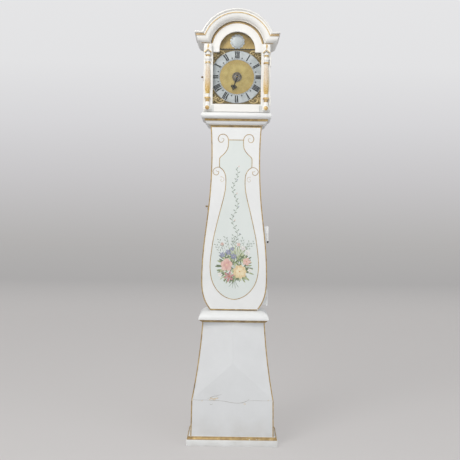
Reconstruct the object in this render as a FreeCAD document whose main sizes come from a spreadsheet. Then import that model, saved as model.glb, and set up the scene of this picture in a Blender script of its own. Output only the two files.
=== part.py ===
import FreeCAD, Part
import math
import os
import Sketcher
from FreeCAD import Vector

# Longcase clock with a round-bellied trunk. Millimetres, +Z up, front towards -Y,
# origin on the floor under the middle of the clock.

doc = FreeCAD.newDocument("MoraClock")
sheet = doc.addObject("Spreadsheet::Sheet", "Sizes")

sizes = {
    # Whole case
    "back_face": 128,
    "board": 18,
    "thin_board": 14,
    "fit_gap": 0.3,
    "door_gap": 2,
    "overrun": 5,
    # Foot and plinth
    "foot_out": 19,
    "foot_cove_out": 8.5,
    "foot_flat_rise": 31,
    "foot_rise": 46,
    "plinth_front": 109,
    "plinth_flare": 3,
    "plinth_top_half": 203,
    "plinth_rise": 223,
    "floor_under": 20,
    # Upper base with its two leaning facets
    "base_mid_half": 174,
    "base_mid_level": 404,
    "base_top_half": 155,
    "base_rise": 605,
    "facet_apex_level": 405,
    "ridge_recess": 22,
    # Shoulder moulding
    "shoulder_foot_half": 156,
    "shoulder_front_set": 68,
    "shoulder_band_rise": 12,
    "shoulder_band_out": 15,
    "shoulder_lip_out": 18,
    "shoulder_lip_rise": 18,
    "shoulder_rise": 55,
    "shoulder_run": 51,
    "shoulder_inside": 98,
    # Trunk outline, half widths and levels
    "trunk_front": 55,
    "trunk_foot_half": 116,
    "belly_low_half": 152.5,
    "belly_low_lift": 63,
    "belly_half": 164.4,
    "belly_lift": 178,
    "belly_high_half": 155,
    "belly_high_lift": 336,
    "trunk_mid_half": 135,
    "trunk_mid_lift": 508,
    "waist_half": 122,
    "waist_lift": 728,
    "neck_half": 128,
    "neck_lift": 923,
    # Throat moulding
    "throat_fillet_out": 7,
    "throat_fillet_rise": 4,
    "throat_cove_out": 24,
    "throat_cove_rise": 22,
    "throat_band_out": 29,
    "throat_band_rise": 33,
    "throat_torus_out": 47.5,
    "throat_rise": 65,
    "throat_front_set": 52,
    # Hood
    "hood_half": 166,
    "hood_door_face": 82,
    "hood_door_board": 20,
    "hood_door_foot_gap": 2,
    "hood_frame_board": 8,
    "door_top_lift": 1324,
    "arch_centre_lift": 1305.5,
    "door_arch_radius": 132,
    "door_arch_gap": 3,
    "opening_half": 120,
    "opening_foot_lift": 1029,
    "opening_spring_lift": 1288,
    "opening_arch_radius": 89,
    "opening_arch_centre_lift": 1301,
    "mask_margin": 5,
    "glass_thick": 2.5,
    "glass_lap": 6,
    "rail_panel_half": 112,
    "rail_panel_out": 4,
    "rail_panel_margin": 6,
    "roof_board": 12,
    "roof_radius": 150,
    # Cornice
    "cornice_rise": 55,
    "cornice_fillet_out": 11,
    "cornice_fillet_rise": 4,
    "cornice_cove_out": 36,
    "cornice_cove_rise": 33,
    "cornice_band_out": 39,
    "cornice_band_rise": 45,
    "cornice_top_out": 46,
    # Columns
    "column_place": 145,
    "column_axis_out": 2,
    "column_foot_lift": 998,
    "column_foot_radius": 18,
    "column_block_half": 18,
    "column_block_rise": 24,
    "column_shaft_radius": 13.5,
    "column_neck_radius": 8,
    "column_ring_radius": 15.5,
    "boss_radius": 9,
    "boss_lift": 1008,
    # Hinges and hooks
    "knuckle_radius": 3.5,
    "hinge_leaf": 1.6,
    "hood_hinge_out": 12,
    "hood_hinge_rise": 46,
    "hood_hinge_low_lift": 1022,
    "hood_hinge_high_lift": 1217,
    "hood_leaf_reach": 22,
    "trunk_hinge_set": 0.5,
    "trunk_hinge_rise": 75,
    "trunk_hinge_low_lift": 30,
    "trunk_hinge_high_lift": 348,
    "trunk_leaf_reach": 26,
    "hinge_ball_radius": 4.5,
    "hook_arm": 20,
    "hook_width": 8,
    "hook_notch_gap": 0.8,
    "hook_thick": 2.2,
    "hook_pivot_back": 13,
    "hook_pin_radius": 1.8,
    "hook_knob_radius": 5,
    "hood_hook_lift": 1166,
    "trunk_hook_lift": 520,
    # Dial
    "dial_centre_lift": 1169,
    "dial_half": 140,
    "dial_face": 49,
    "dial_plate": 2.5,
    "arch_plate_radius": 96,
    "chapter_radius": 131.5,
    "chapter_inner_radius": 86,
    "chapter_thick": 2,
    "plaque_radius": 36,
    "plaque_lift": 1346,
    "plaque_thick": 3,
    "spandrel_thick": 2.5,
    "spandrel_margin": 4,
    "hand_length": 73,
    "hand_thick": 2.2,
    "alarm_disc_radius": 24,
    "alarm_disc_thick": 2,
    "hand_gap": 3,
    "pipe_radius": 5,
    "pipe_bore_radius": 3.2,
    # Movement
    "seat_board": 20,
    "seat_front": 40,
    "plate_half": 62,
    "plate_thick": 3,
    "front_plate_face": 28,
    "plate_space": 60,
    "plate_rise": 292,
    "motion_distance": 49.5,
    "pillar_radius": 4,
    "pillar_inset": 5,
    "pillar_lift": 22,
    "dial_foot_radius": 3,
    "wheel_thick": 2.5,
    "great_module": 1.2,
    "second_module": 1.1,
    "arbor_radius": 3,
    "pinion_arbor_radius": 1.8,
    "pinion_length": 14,
    "line_pulley_radius": 22,
    "line_pulley_width": 16,
    "line_pulley_flange": 4,
    "escape_radius": 25,
    "anchor_rise": 35,
    "pallet_gap": 2.3,
    "pendulum_back": 68,
    "crutch_length": 106,
    "pendulum_length": 1000,
    "rod_radius": 2.5,
    "bob_radius": 57,
    "bob_thick": 28,
    "nut_radius": 9,
    "nut_rise": 10,
    "cock_width": 26,
    "cock_lift": 9,
    "cock_thick": 8,
    "bell_radius": 38,
    "bell_rise": 30,
    "bell_wall": 2,
    "bell_lift": 1326,
    "hammer_place": 50,
    "hammer_lift": 1265,
    "hammer_head_radius": 5,
    # Weight and line
    "weight_radius": 34,
    "weight_rise": 170,
    "weight_foot_lift": 40,
    "weight_depth": 4,
    "weight_pulley_radius": 20,
    "weight_pulley_thick": 8,
    "weight_pulley_lift": 45,
    "line_radius": 1.5,
}

for row, (alias, number) in enumerate(sizes.items(), start=1):
    sheet.set(f"A{row}", alias)
    sheet.set(f"B{row}", str(number))
    sheet.setAlias(f"B{row}", alias)
doc.recompute()


# A size carries its number and the cell formula that gives it
class Size:
    def __init__(self, value, text):
        self.value = float(value)
        self.text = text

    def combine(self, other, sign, result, turned=False):
        text = other.text if isinstance(other, Size) else repr(other)
        first, second = (text, self.text) if turned else (self.text, text)
        return Size(result, f"({first} {sign} {second})")

    def __float__(self):
        return self.value

    def __neg__(self):
        return Size(-self.value, f"(-1 * {self.text})")

    def __add__(self, other):
        return self.combine(other, "+", self.value + float(other))

    def __radd__(self, other):
        return self.combine(other, "+", float(other) + self.value, turned=True)

    def __sub__(self, other):
        return self.combine(other, "-", self.value - float(other))

    def __rsub__(self, other):
        return self.combine(other, "-", float(other) - self.value, turned=True)

    def __mul__(self, other):
        return self.combine(other, "*", self.value * float(other))

    def __rmul__(self, other):
        return self.combine(other, "*", float(other) * self.value, turned=True)

    def __truediv__(self, other):
        return self.combine(other, "/", self.value / float(other))


# A level above the base is the trunk's foot and a lift from the sheet
class Cells:
    def __getattr__(self, alias):
        lift = alias.replace("_level", "_lift")
        if lift != alias and lift in sizes:
            return self.base_rise + self.shoulder_rise + getattr(self, lift)
        return Size(sheet.get(alias), f"Sizes.{alias}")


cell = Cells()
full_turn = 360
half_turn = 180
quarter_turn = 90
pieces = []


# Keep a finished sub-part under its own name
def keep(item, label):
    item.Label = label
    pieces.append(item)
    return item


def bind(item, **values):
    for field, size in values.items():
        if isinstance(size, Size):
            item.setExpression(field, size.text)
        else:
            setattr(item, field, size)


def place(item, x=0.0, y=0.0, z=0.0):
    for axis, size in (("x", x), ("y", y), ("z", z)):
        if isinstance(size, Size):
            item.setExpression(f"Placement.Base.{axis}", size.text)


# A shape worked out from the sizes, where no feature of its own fits
def formed(label, shape):
    item = doc.addObject("Part::Feature", label)
    item.Shape = shape
    return keep(item, label)


def origin_plane(body, role):
    return next(plane for plane in body.Origin.OriginFeatures if plane.Role == role)


# A closed outline on one of the body's own planes, each corner bound to the sheet
def outline(body, name, role, corners):
    sketch = body.newObject("Sketcher::SketchObject", name)
    sketch.AttachmentSupport = [(origin_plane(body, role), "")]
    sketch.MapMode = "FlatFace"
    spots = [Vector(float(across), float(up), 0) for across, up in corners]
    count = len(spots)
    for index, spot in enumerate(spots):
        sketch.addGeometry(Part.LineSegment(spot, spots[(index + 1) % count]), False)
    for index in range(count):
        sketch.addConstraint(Sketcher.Constraint("Coincident", index, 2, (index + 1) % count, 1))
    for index, (across, up) in enumerate(corners):
        pin_point(sketch, index, 1, across, up)
    return sketch


def pin_point(sketch, line, end, across, up):
    for kind, size in (("DistanceX", across), ("DistanceY", up)):
        number = sketch.addConstraint(Sketcher.Constraint(kind, -1, 1, line, end, float(size)))
        if isinstance(size, Size):
            sketch.setExpression(f"Constraints[{number}]", size.text)


def ring_sketch(body, name, role, *radii, across=0.0, up=0.0):
    sketch = body.newObject("Sketcher::SketchObject", name)
    sketch.AttachmentSupport = [(origin_plane(body, role), "")]
    sketch.MapMode = "FlatFace"
    for number, radius in enumerate(radii):
        centre = Vector(float(across), float(up), 0)
        sketch.addGeometry(Part.Circle(centre, Vector(0, 0, 1), float(radius)), False)
        pin_point(sketch, number, 3, across, up)
        limit = sketch.addConstraint(Sketcher.Constraint("Radius", number, float(radius)))
        sketch.setExpression(f"Constraints[{limit}]", radius.text)
    return sketch


def new_body(label):
    return keep(doc.addObject("PartDesign::Body", label), label)


# A board: an outline in the front plane, from depth `front` backwards by `thick`
def front_board(label, corners, front, thick):
    body = new_body(label)
    sketch = outline(body, f"{label}_outline", "XZ_Plane", corners)
    pad = body.newObject("PartDesign::Pad", f"{label}_pad")
    pad.Profile = sketch
    pad.Reversed = True
    bind(pad, Length=thick)
    place(body, y=front)
    return body


def box(label, x, y, z, length, width, height):
    item = doc.addObject("Part::Box", label)
    bind(item, Length=length, Width=width, Height=height)
    place(item, x, y, z)
    return item


# Points of a quarter curve from one corner to another, hollow or swelling
def quarter(start, end, hollow, steps):
    points = []
    for step in range(1, steps + 1):
        angle = math.pi / 2 * step / steps
        along, rise = math.sin(angle), 1 - math.cos(angle)
        share_out, share_up = (rise, along) if hollow else (along, rise)
        points.append((start[0] + (end[0] - start[0]) * share_out,
                       start[1] + (end[1] - start[1]) * share_up))
    return points


def wire(points):
    return Part.makePolygon(list(points) + [points[0]])


def prism(points, push):
    return Part.Face(wire(points)).extrude(push)


# A solid over flat outlines, one above another, with as many corners each
def stacked(rings):
    faces = [Part.Face(wire(rings[0])), Part.Face(wire(rings[-1]))]
    for first, second in zip(rings, rings[1:]):
        for index in range(len(first)):
            faces.append(Part.Face(wire([first[index - 1], first[index], second[index], second[index - 1]])))
    solid = Part.makeSolid(Part.makeShell(faces))
    if solid.Volume < 0:
        solid.reverse()
    return solid


def between(first, second):
    return stacked([first, second])


# Plain numbers of the same cells, for shapes that are worked out here
class Numbers:
    def __getattr__(self, alias):
        return float(getattr(cell, alias))


mm = Numbers()
plinth_low = cell.plinth_top_half + cell.plinth_flare
plinth_low_half = float(plinth_low)

# Case outline
belly_points = [(mm.trunk_foot_half, mm.base_rise + mm.shoulder_rise),
                (mm.belly_low_half, mm.belly_low_level),
                (mm.belly_half, mm.belly_level),
                (mm.belly_high_half, mm.belly_high_level),
                (mm.trunk_mid_half, mm.trunk_mid_level),
                (mm.waist_half, mm.waist_level),
                (mm.neck_half, mm.neck_level)]
base_points = [(mm.plinth_top_half, mm.plinth_rise),
               (mm.base_mid_half, mm.base_mid_level),
               (mm.base_top_half, mm.base_rise)]
trunk_foot = mm.base_rise + mm.shoulder_rise
throat_top = mm.neck_level + mm.throat_rise
cornice_foot = mm.door_top_level + mm.door_arch_gap
hood_frame_front = -mm.hood_door_face + mm.hood_door_board + mm.fit_gap
hood_frame_back = hood_frame_front + mm.hood_frame_board
trunk_door_back = -mm.trunk_front + mm.board
board_front = mm.back_face - mm.board


# One smooth edge through the given half widths, on the chosen side
def curved_edge(points, side, inset=0.0):
    curve = Part.BSplineCurve()
    curve.interpolate([Vector(side * (half - inset), 0, level) for half, level in points])
    return curve.toShape()


def closed_face(edges):
    return Part.Face(Part.Wire(Part.__sortEdges__(edges)))


def line_between(first, second):
    return Part.makeLine(Vector(*first), Vector(*second))


# The whole width between two mirrored curved edges
def curved_panel(points, inset, front, back):
    low, high = points[0], points[-1]
    edges = [curved_edge(points, -1, inset),
             curved_edge(points, 1, inset),
             line_between((inset - low[0], 0, low[1]), (low[0] - inset, 0, low[1])),
             line_between((inset - high[0], 0, high[1]), (high[0] - inset, 0, high[1]))]
    solid = closed_face(edges).extrude(Vector(0, back - front, 0))
    solid.translate(Vector(0, front, 0))
    return solid


# A side board that follows the curve
def curved_side(points, side, thick, front, back):
    low, high = points[0], points[-1]
    edges = [curved_edge(points, side), curved_edge(points, side, thick),
             line_between((side * (low[0] - thick), 0, low[1]), (side * low[0], 0, low[1])),
             line_between((side * (high[0] - thick), 0, high[1]), (side * high[0], 0, high[1]))]
    solid = closed_face(edges).extrude(Vector(0, back - front, 0))
    solid.translate(Vector(0, front, 0))
    return solid


# Mitred moulding round front and sides. The section is a list of (outwards, upwards)
def mitred_front(section, half, front, level):
    ends = [[Vector(side * (half + out), -(front + out), level + up) for out, up in section]
            for side in (-1, 1)]
    return between(*ends)


def mitred_return(section, half, front, level, back, side):
    near = [Vector(side * (half + out), -(front + out), level + up) for out, up in section]
    far = [Vector(side * (half + out), back, level + up) for out, up in section]
    return between(near, far)


def mitred_set(section, half, front, level, back):
    parts = [mitred_front(section, half, front, level)]
    parts += [mitred_return(section, half, front, level, back, side) for side in (-1, 1)]
    return Part.makeCompound(parts)


curve_steps = 6

# Foot moulding: upright band, then a hollow up to the plinth
foot_section = [(0, 0), (mm.foot_out, 0), (mm.foot_out, mm.foot_flat_rise)]
foot_section += quarter((mm.foot_out, mm.foot_flat_rise), (mm.foot_cove_out, mm.foot_rise), True, curve_steps)
foot_section += [(0, mm.foot_rise)]
formed("foot_moulding", mitred_set(foot_section, plinth_low_half, mm.plinth_front, 0, mm.back_face))

# Plinth boards
front_board("plinth_front",
            [(-plinth_low, 0), (plinth_low, 0),
             (cell.plinth_top_half, cell.plinth_rise), (-cell.plinth_top_half, cell.plinth_rise)],
            -cell.plinth_front, cell.board)
side_depth = cell.plinth_front - cell.board + cell.back_face - cell.board
for name, side in (("plinth_left", -1), ("plinth_right", 1)):
    front_board(name,
                [(side * plinth_low, 0), (side * cell.plinth_top_half, cell.plinth_rise),
                 (side * (cell.plinth_top_half - cell.board), cell.plinth_rise),
                 (side * (plinth_low - cell.board), 0)],
                cell.board - cell.plinth_front, side_depth)
floor_half = cell.plinth_top_half - cell.board - cell.fit_gap
floor = box("floor_board", -floor_half, cell.board - cell.plinth_front, cell.floor_under,
            2 * floor_half, side_depth, cell.board)
keep(floor, "floor_board")


# Everything behind the facetted front: an upright triangle and two leaning facets
def behind_facets(shift):
    width, deep = 2 * mm.plinth_top_half, 2 * mm.back_face
    low, high = mm.plinth_rise, mm.base_rise
    block = Part.makeBox(2 * width, deep, high - low, Vector(-width, -mm.plinth_front, low))
    apex = Vector(0, -mm.plinth_front, mm.facet_apex_level)
    crown = Vector(0, mm.ridge_recess - mm.plinth_front, high)
    for side in (-1, 1):
        kink = Vector(side * mm.plinth_top_half, -mm.plinth_front, low)
        normal = (apex - kink).cross(crown - apex)
        if normal.y > 0:
            normal = -normal
        cutter = Part.makePlane(2 * deep + 2 * width, 2 * deep + 2 * width)
        cutter.translate(Vector(-deep - width, -deep - width, 0))
        cutter.Placement = FreeCAD.Placement(apex, FreeCAD.Rotation(Vector(0, 0, 1), normal)).multiply(
            cutter.Placement)
        block = block.cut(cutter.extrude(normal.normalize() * deep))
    block.translate(Vector(0, shift, 0))
    return block


base_core = curved_panel(base_points, 0, -mm.plinth_front, mm.back_face)
face_solid = behind_facets(0)
back_solid = behind_facets(mm.board)
formed("base_front", base_core.common(face_solid).cut(back_solid))
for name, side in (("base_left", -1), ("base_right", 1)):
    side_board = curved_side(base_points, side, mm.board, -mm.plinth_front, board_front)
    formed(name, side_board.common(back_solid))

# Shoulder moulding: flaring band, lip and a full quarter swelling up to the trunk
shoulder_inner = mm.shoulder_inside - mm.shoulder_foot_half
shoulder_section = [(shoulder_inner, 0), (0, 0), (mm.shoulder_band_out, mm.shoulder_band_rise),
                    (mm.shoulder_lip_out, mm.shoulder_band_rise), (mm.shoulder_lip_out, mm.shoulder_lip_rise)]
swelling = quarter((mm.shoulder_lip_out - mm.shoulder_run, mm.shoulder_rise),
                   (mm.shoulder_lip_out, mm.shoulder_lip_rise), False, curve_steps)
shoulder_section += swelling[-2::-1]
shoulder_section += [(mm.shoulder_lip_out - mm.shoulder_run, mm.shoulder_rise),
                     (shoulder_inner, mm.shoulder_rise)]
formed("shoulder_moulding", mitred_set(shoulder_section, mm.shoulder_foot_half,
                                       mm.shoulder_foot_half - mm.shoulder_front_set,
                                       mm.base_rise, board_front))

# Trunk side boards stand on the shoulder and run up behind the throat moulding
for name, side in (("trunk_left_side", -1), ("trunk_right_side", 1)):
    curved = curved_side(belly_points, side, mm.thin_board, trunk_door_back, board_front)
    neck = Part.makeBox(mm.thin_board, board_front - trunk_door_back, mm.throat_rise,
                        Vector(min(side * mm.neck_half, side * (mm.neck_half - mm.thin_board)),
                               trunk_door_back, mm.neck_level))
    formed(name, curved.fuse(neck).removeSplitter())

# Backboard in the outline of the whole case, a little narrower inside the hood
back_parts = [prism([Vector(-plinth_low_half, 0, 0), Vector(plinth_low_half, 0, 0),
                     Vector(mm.plinth_top_half, 0, mm.plinth_rise),
                     Vector(-mm.plinth_top_half, 0, mm.plinth_rise)], Vector(0, mm.board, 0))]
back_parts[0].translate(Vector(0, board_front, 0))
back_parts.append(curved_panel(base_points, 0, board_front, mm.back_face))
back_parts.append(curved_panel(belly_points, 0, board_front, mm.back_face))
shoulder_half = mm.trunk_foot_half
back_parts.append(Part.makeBox(2 * shoulder_half, mm.board, mm.shoulder_rise,
                               Vector(-shoulder_half, board_front, mm.base_rise)))
back_parts.append(Part.makeBox(2 * mm.neck_half, mm.board, mm.throat_rise,
                               Vector(-mm.neck_half, board_front, mm.neck_level)))
hood_inside = mm.hood_half - mm.thin_board - mm.door_gap
back_parts.append(Part.makeBox(2 * hood_inside, mm.board, cornice_foot - throat_top - mm.fit_gap,
                               Vector(-hood_inside, board_front, throat_top)))
formed("backboard", back_parts[0].multiFuse(back_parts[1:]).removeSplitter())

# Throat moulding: fillet, cove, band and torus, which carries the hood
throat_section = [(0, 0), (mm.throat_fillet_out, 0), (mm.throat_fillet_out, mm.throat_fillet_rise)]
throat_section += quarter((mm.throat_fillet_out, mm.throat_fillet_rise),
                          (mm.throat_cove_out, mm.throat_cove_rise), True, curve_steps)
throat_section += [(mm.throat_band_out, mm.throat_cove_rise), (mm.throat_band_out, mm.throat_band_rise)]
torus_rise = (mm.throat_rise - mm.throat_band_rise) / 2
torus_middle = mm.throat_band_rise + torus_rise
torus_flat = mm.throat_torus_out - torus_rise
throat_section += [(torus_flat + torus_rise * math.cos(angle), torus_middle + torus_rise * math.sin(angle))
                   for angle in [math.pi * (step / curve_steps / 2 - 0.5) for step in range(2 * curve_steps + 1)]]
throat_section += [(0, mm.throat_rise)]
throat_inside = -(mm.throat_front_set + trunk_door_back)
throat_front = mitred_front([(throat_inside, mm.throat_rise), (throat_inside, 0)] + throat_section,
                            mm.neck_half, mm.throat_front_set, mm.neck_level)
throat_returns = [mitred_return(throat_section, mm.neck_half, mm.throat_front_set, mm.neck_level,
                                mm.back_face, side) for side in (-1, 1)]
formed("throat_moulding", Part.makeCompound([throat_front] + throat_returns))


# A smooth arch-headed block: straight sides up to the springing, a true arc above
def arch_block(half, foot, spring, radius, centre, front, back):
    reach = math.sqrt(radius ** 2 - (spring - centre) ** 2)
    crown = Vector(0, front, centre + radius)
    right, left = Vector(reach, front, spring), Vector(-reach, front, spring)
    edges = [Part.Arc(right, crown, left).toShape()]
    corners = [left, Vector(-half, front, spring), Vector(-half, front, foot),
               Vector(half, front, foot), Vector(half, front, spring), right]
    for first, second in zip(corners, corners[1:]):
        if first.distanceToPoint(second) > 0:
            edges.append(Part.makeLine(first, second))
    return closed_face(edges).extrude(Vector(0, back - front, 0))


# Hood: front frame, sides and barrel roof
door_front = -mm.hood_door_face
door_back = door_front + mm.hood_door_board
hood_foot = throat_top + mm.fit_gap
frame_arch = mm.door_arch_radius + mm.door_arch_gap + mm.roof_board / 2
frame = arch_block(mm.hood_half, hood_foot, cornice_foot, frame_arch, mm.arch_centre_level,
                   hood_frame_front, hood_frame_back)
mask_half = mm.opening_half + mm.mask_margin
frame = frame.cut(arch_block(mask_half, mm.opening_foot_level - mm.mask_margin, mm.opening_spring_level,
                             mm.opening_arch_radius + mm.mask_margin, mm.opening_arch_centre_level,
                             hood_frame_front - mm.overrun, hood_frame_back + mm.overrun))
formed("hood_front_frame", frame)
for name, side in (("hood_left_side", -1), ("hood_right_side", 1)):
    near = -cell.hood_half if side < 0 else cell.hood_half - cell.thin_board
    frame_rear = cell.hood_door_board - cell.hood_door_face + cell.fit_gap + cell.hood_frame_board
    foot_level = cell.neck_level + cell.throat_rise + cell.fit_gap
    keep(box(name, near, frame_rear, foot_level, cell.thin_board, cell.back_face - frame_rear,
             cell.door_top_level + cell.door_arch_gap - foot_level), name)
roof = arch_block(mm.hood_half, cornice_foot, cornice_foot + mm.roof_board, mm.roof_radius,
                  mm.arch_centre_level, hood_frame_back, mm.back_face)
inner_radius = mm.roof_radius - mm.roof_board
roof_hollow = Part.makeCylinder(inner_radius, mm.back_face - hood_frame_back,
                                Vector(0, hood_frame_back, mm.arch_centre_level), Vector(0, 1, 0))
formed("hood_roof", roof.cut(roof_hollow))

# Cornice: one section, run level over the ears and turned over the arch
cornice_section = [(0, 0), (mm.cornice_fillet_out, 0), (mm.cornice_fillet_out, mm.cornice_fillet_rise)]
cornice_section += quarter((mm.cornice_fillet_out, mm.cornice_fillet_rise),
                           (mm.cornice_cove_out, mm.cornice_cove_rise), True, curve_steps)
cornice_section += [(mm.cornice_band_out, mm.cornice_cove_rise), (mm.cornice_band_out, mm.cornice_band_rise),
                    (mm.cornice_top_out, mm.cornice_band_rise), (mm.cornice_top_out, mm.cornice_rise),
                    (0, mm.cornice_rise)]
arch_inner = mm.door_arch_radius + mm.door_arch_gap


def mitre_place(up):
    radius, level = arch_inner + up, cornice_foot + up - mm.arch_centre_level
    return math.sqrt(radius ** 2 - level ** 2)


ear_inside = door_front - hood_frame_front
ear_section = [(ear_inside, mm.cornice_rise), (ear_inside, 0)] + cornice_section
mitre_low, mitre_high = mitre_place(0), mitre_place(mm.cornice_rise)
mitre_slope = (mitre_high - mitre_low) / mm.cornice_rise
far_rise = mm.cornice_rise * 2
axis_half = mitre_low - mitre_slope * (cornice_foot - mm.arch_centre_level)
far_half = mitre_low + mitre_slope * far_rise
outside_mitre = [(mitre_low - mitre_slope * mm.overrun, cornice_foot - mm.overrun),
                 (far_half, cornice_foot + far_rise), (2 * far_half, cornice_foot + far_rise),
                 (2 * far_half, cornice_foot - mm.overrun)]
inside_mitre = [(0, cornice_foot - mm.overrun),
                (mitre_low - mitre_slope * mm.overrun, cornice_foot - mm.overrun),
                (far_half, cornice_foot + far_rise), (0, cornice_foot + far_rise)]
reach = mm.cornice_top_out + mm.overrun
inside_corner = [(0, hood_frame_front), (mm.hood_half, hood_frame_front), (mm.hood_half, door_front),
                 (mm.hood_half + reach, door_front - reach), (0, door_front - reach)]
ears = []
for side in (-1, 1):
    run = prism([Vector(0, door_front - out, cornice_foot + up) for out, up in ear_section],
                Vector(side * (mm.hood_half + reach), 0, 0))
    run = run.common(prism([Vector(side * across, -mm.back_face - reach, up) for across, up in outside_mitre],
                           Vector(0, 2 * mm.back_face, 0)))
    run = run.common(prism([Vector(side * across, deep, cornice_foot - mm.overrun)
                            for across, deep in inside_corner], Vector(0, 0, far_rise)))
    ears.append(run.Solids[0])
    ear_return = mitred_return(cornice_section, mm.hood_half, mm.hood_door_face, cornice_foot,
                               mm.back_face, side)
    ears.append(ear_return.cut(prism([Vector(side * across, hood_frame_front - 2 * reach, up)
                                      for across, up in inside_mitre], Vector(0, 2 * reach, 0))))
formed("cornice_ears", Part.makeCompound(ears))

arch_section = [Vector(arch_inner + up, door_front - out, mm.arch_centre_level) for out, up in ear_section]
sweep = Part.Face(wire(arch_section)).revolve(Vector(0, 0, mm.arch_centre_level), Vector(0, -1, 0),
                                              half_turn)
wedge_points = [(axis_half, mm.arch_centre_level), (far_half, cornice_foot + far_rise),
                (2 * far_half, cornice_foot + far_rise), (2 * far_half, mm.arch_centre_level)]
for side in (-1, 1):
    wedge = [Vector(side * across, door_front - 2 * mm.cornice_top_out, up) for across, up in wedge_points]
    sweep = sweep.cut(prism(wedge, Vector(0, mm.cornice_top_out * 4, 0)))
formed("cornice_arch", sweep)

# Hood door: the whole front, arched, with its opening, glass and raised lower rail
door_foot = throat_top + mm.hood_door_foot_gap
door = arch_block(mm.hood_half, door_foot, mm.door_top_level, mm.door_arch_radius, mm.arch_centre_level,
                  door_front, door_back)
door = door.cut(arch_block(mm.opening_half, mm.opening_foot_level, mm.opening_spring_level,
                           mm.opening_arch_radius, mm.opening_arch_centre_level,
                           door_front - mm.overrun, door_back + mm.overrun))
glass_front = door_back - mm.glass_thick * 2
rebate = arch_block(mm.opening_half + mm.glass_lap, mm.opening_foot_level - mm.glass_lap,
                    mm.opening_spring_level, mm.opening_arch_radius + mm.glass_lap,
                    mm.opening_arch_centre_level, glass_front, door_back + mm.overrun)
door = door.cut(rebate)
rail_panel = Part.makeBox(2 * mm.rail_panel_half, mm.rail_panel_out,
                          mm.opening_foot_level - mm.rail_panel_margin - door_foot,
                          Vector(-mm.rail_panel_half, door_front - mm.rail_panel_out, door_foot))
formed("hood_door", door.fuse(rail_panel))
formed("hood_glass", arch_block(mm.opening_half + mm.glass_lap - mm.fit_gap,
                                mm.opening_foot_level - mm.glass_lap + mm.fit_gap,
                                mm.opening_spring_level - mm.fit_gap,
                                mm.opening_arch_radius + mm.glass_lap - mm.fit_gap,
                                mm.opening_arch_centre_level, glass_front, glass_front + mm.glass_thick))

# Turned columns, let into the door face. Shares of the column's own height and radii
reed_count = 16
core_share, groove_share = 0.5, 0.86
column_rise = mm.door_top_level - mm.column_foot_level
column_share = [(0.0, 1.0), (0.025, 1.0), (0.04, 0.86), (0.12, 0.62), (0.15, 0.55), (0.165, 0.55),
                (0.17, 0.8), (0.195, 0.8), (0.2, 0.5), (0.245, 0.47)]
shaft_share = [(0.25, 0.6), (0.3, 0.86), (0.37, 1.0), (0.45, 0.98), (0.6, 0.86), (0.7, 0.7), (0.72, 0.6)]
collar_share = [(0.725, 0.85), (0.74, 0.85), (0.745, 0.6), (0.76, 0.75), (0.785, 1.0), (0.8, 0.75),
                (0.805, 0.5), (0.82, 0.5), (0.825, 0.72), (0.84, 0.72), (0.845, 0.97), (0.87, 0.97),
                (0.875, 0.6), (0.885, 0.6)]
column_outline = [(share * mm.column_foot_radius, mm.column_foot_level + rise * column_rise)
                  for rise, share in column_share]
shaft_outline = [(share * mm.column_shaft_radius, mm.column_foot_level + rise * column_rise)
                 for rise, share in shaft_share]
column_outline += [(core_share * mm.column_shaft_radius, level)
                   for level in (shaft_outline[0][1], shaft_outline[-1][1])]
column_outline += [(share * mm.column_ring_radius, mm.column_foot_level + rise * column_rise)
                   for rise, share in collar_share]
block_foot = mm.door_top_level - mm.column_block_rise


# The reeded shaft: a many-pointed outline that follows the turned profile
def reeded_shaft():
    rings = []
    for out, level in shaft_outline:
        ring = []
        for index in range(2 * reed_count):
            reach = out if index % 2 else groove_share * out
            angle = math.pi * (index + 0.5) / reed_count
            ring.append(Vector(reach * math.sin(angle), reach * math.cos(angle), level))
        rings.append(ring)
    return stacked(rings)


column_outline += [(mm.column_neck_radius, block_foot - mm.column_neck_radius),
                   (mm.column_neck_radius, block_foot)]
for name, side in (("left_column", -1), ("right_column", 1)):
    middle = Vector(side * mm.column_place, door_front - mm.column_axis_out, 0)
    section = [Vector(0, 0, mm.column_foot_level)] + [Vector(out, 0, up) for out, up in column_outline]
    section += [Vector(0, 0, block_foot)]
    turning = Part.Face(wire(section)).revolve(Vector(0, 0, 0), Vector(0, 0, 1), full_turn)
    block = Part.makeBox(2 * mm.column_block_half, 2 * mm.column_block_half, mm.column_block_rise,
                         Vector(-mm.column_block_half, -mm.column_block_half, block_foot))
    boss = Part.makeCylinder(mm.boss_radius, mm.column_foot_radius + mm.rail_panel_out / 2,
                             Vector(0, 0, mm.boss_level), Vector(0, -1, 0))
    column = turning.multiFuse([reeded_shaft(), block, boss])
    column.translate(middle)
    behind = Part.makeBox(mm.hood_half, mm.hood_half, mm.dial_centre_level * 2,
                          Vector(middle.x - mm.hood_half / 2, door_front, 0))
    formed(name, column.cut(behind))

# Trunk door: the whole curved front, hinged at the right in line with the belly
trunk_door = curved_panel(belly_points, 0, -mm.trunk_front, trunk_door_back - mm.fit_gap)
trim = Part.makeBox(4 * mm.belly_half, 4 * mm.board, mm.neck_level - trunk_foot - 2 * mm.door_gap,
                    Vector(-2 * mm.belly_half, -mm.trunk_front - mm.board, trunk_foot + mm.door_gap))
trunk_door = trunk_door.common(trim)
formed("trunk_door", trunk_door)
belly_reach = trunk_door.BoundBox.XMax
trunk_axis = belly_reach + mm.trunk_hinge_set
case_block = curved_panel(belly_points, 0, -mm.back_face, mm.back_face)


# Pin hinge: knuckle below on the carcase, knuckle above on the door, one pin through both
def knuckle(x, y, foot, rise, bore):
    barrel = Part.makeCylinder(mm.knuckle_radius, rise, Vector(x, y, foot))
    return barrel.cut(Part.makeCylinder(bore, rise, Vector(x, y, foot))) if bore else barrel


pin_radius = mm.knuckle_radius / 2


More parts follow.
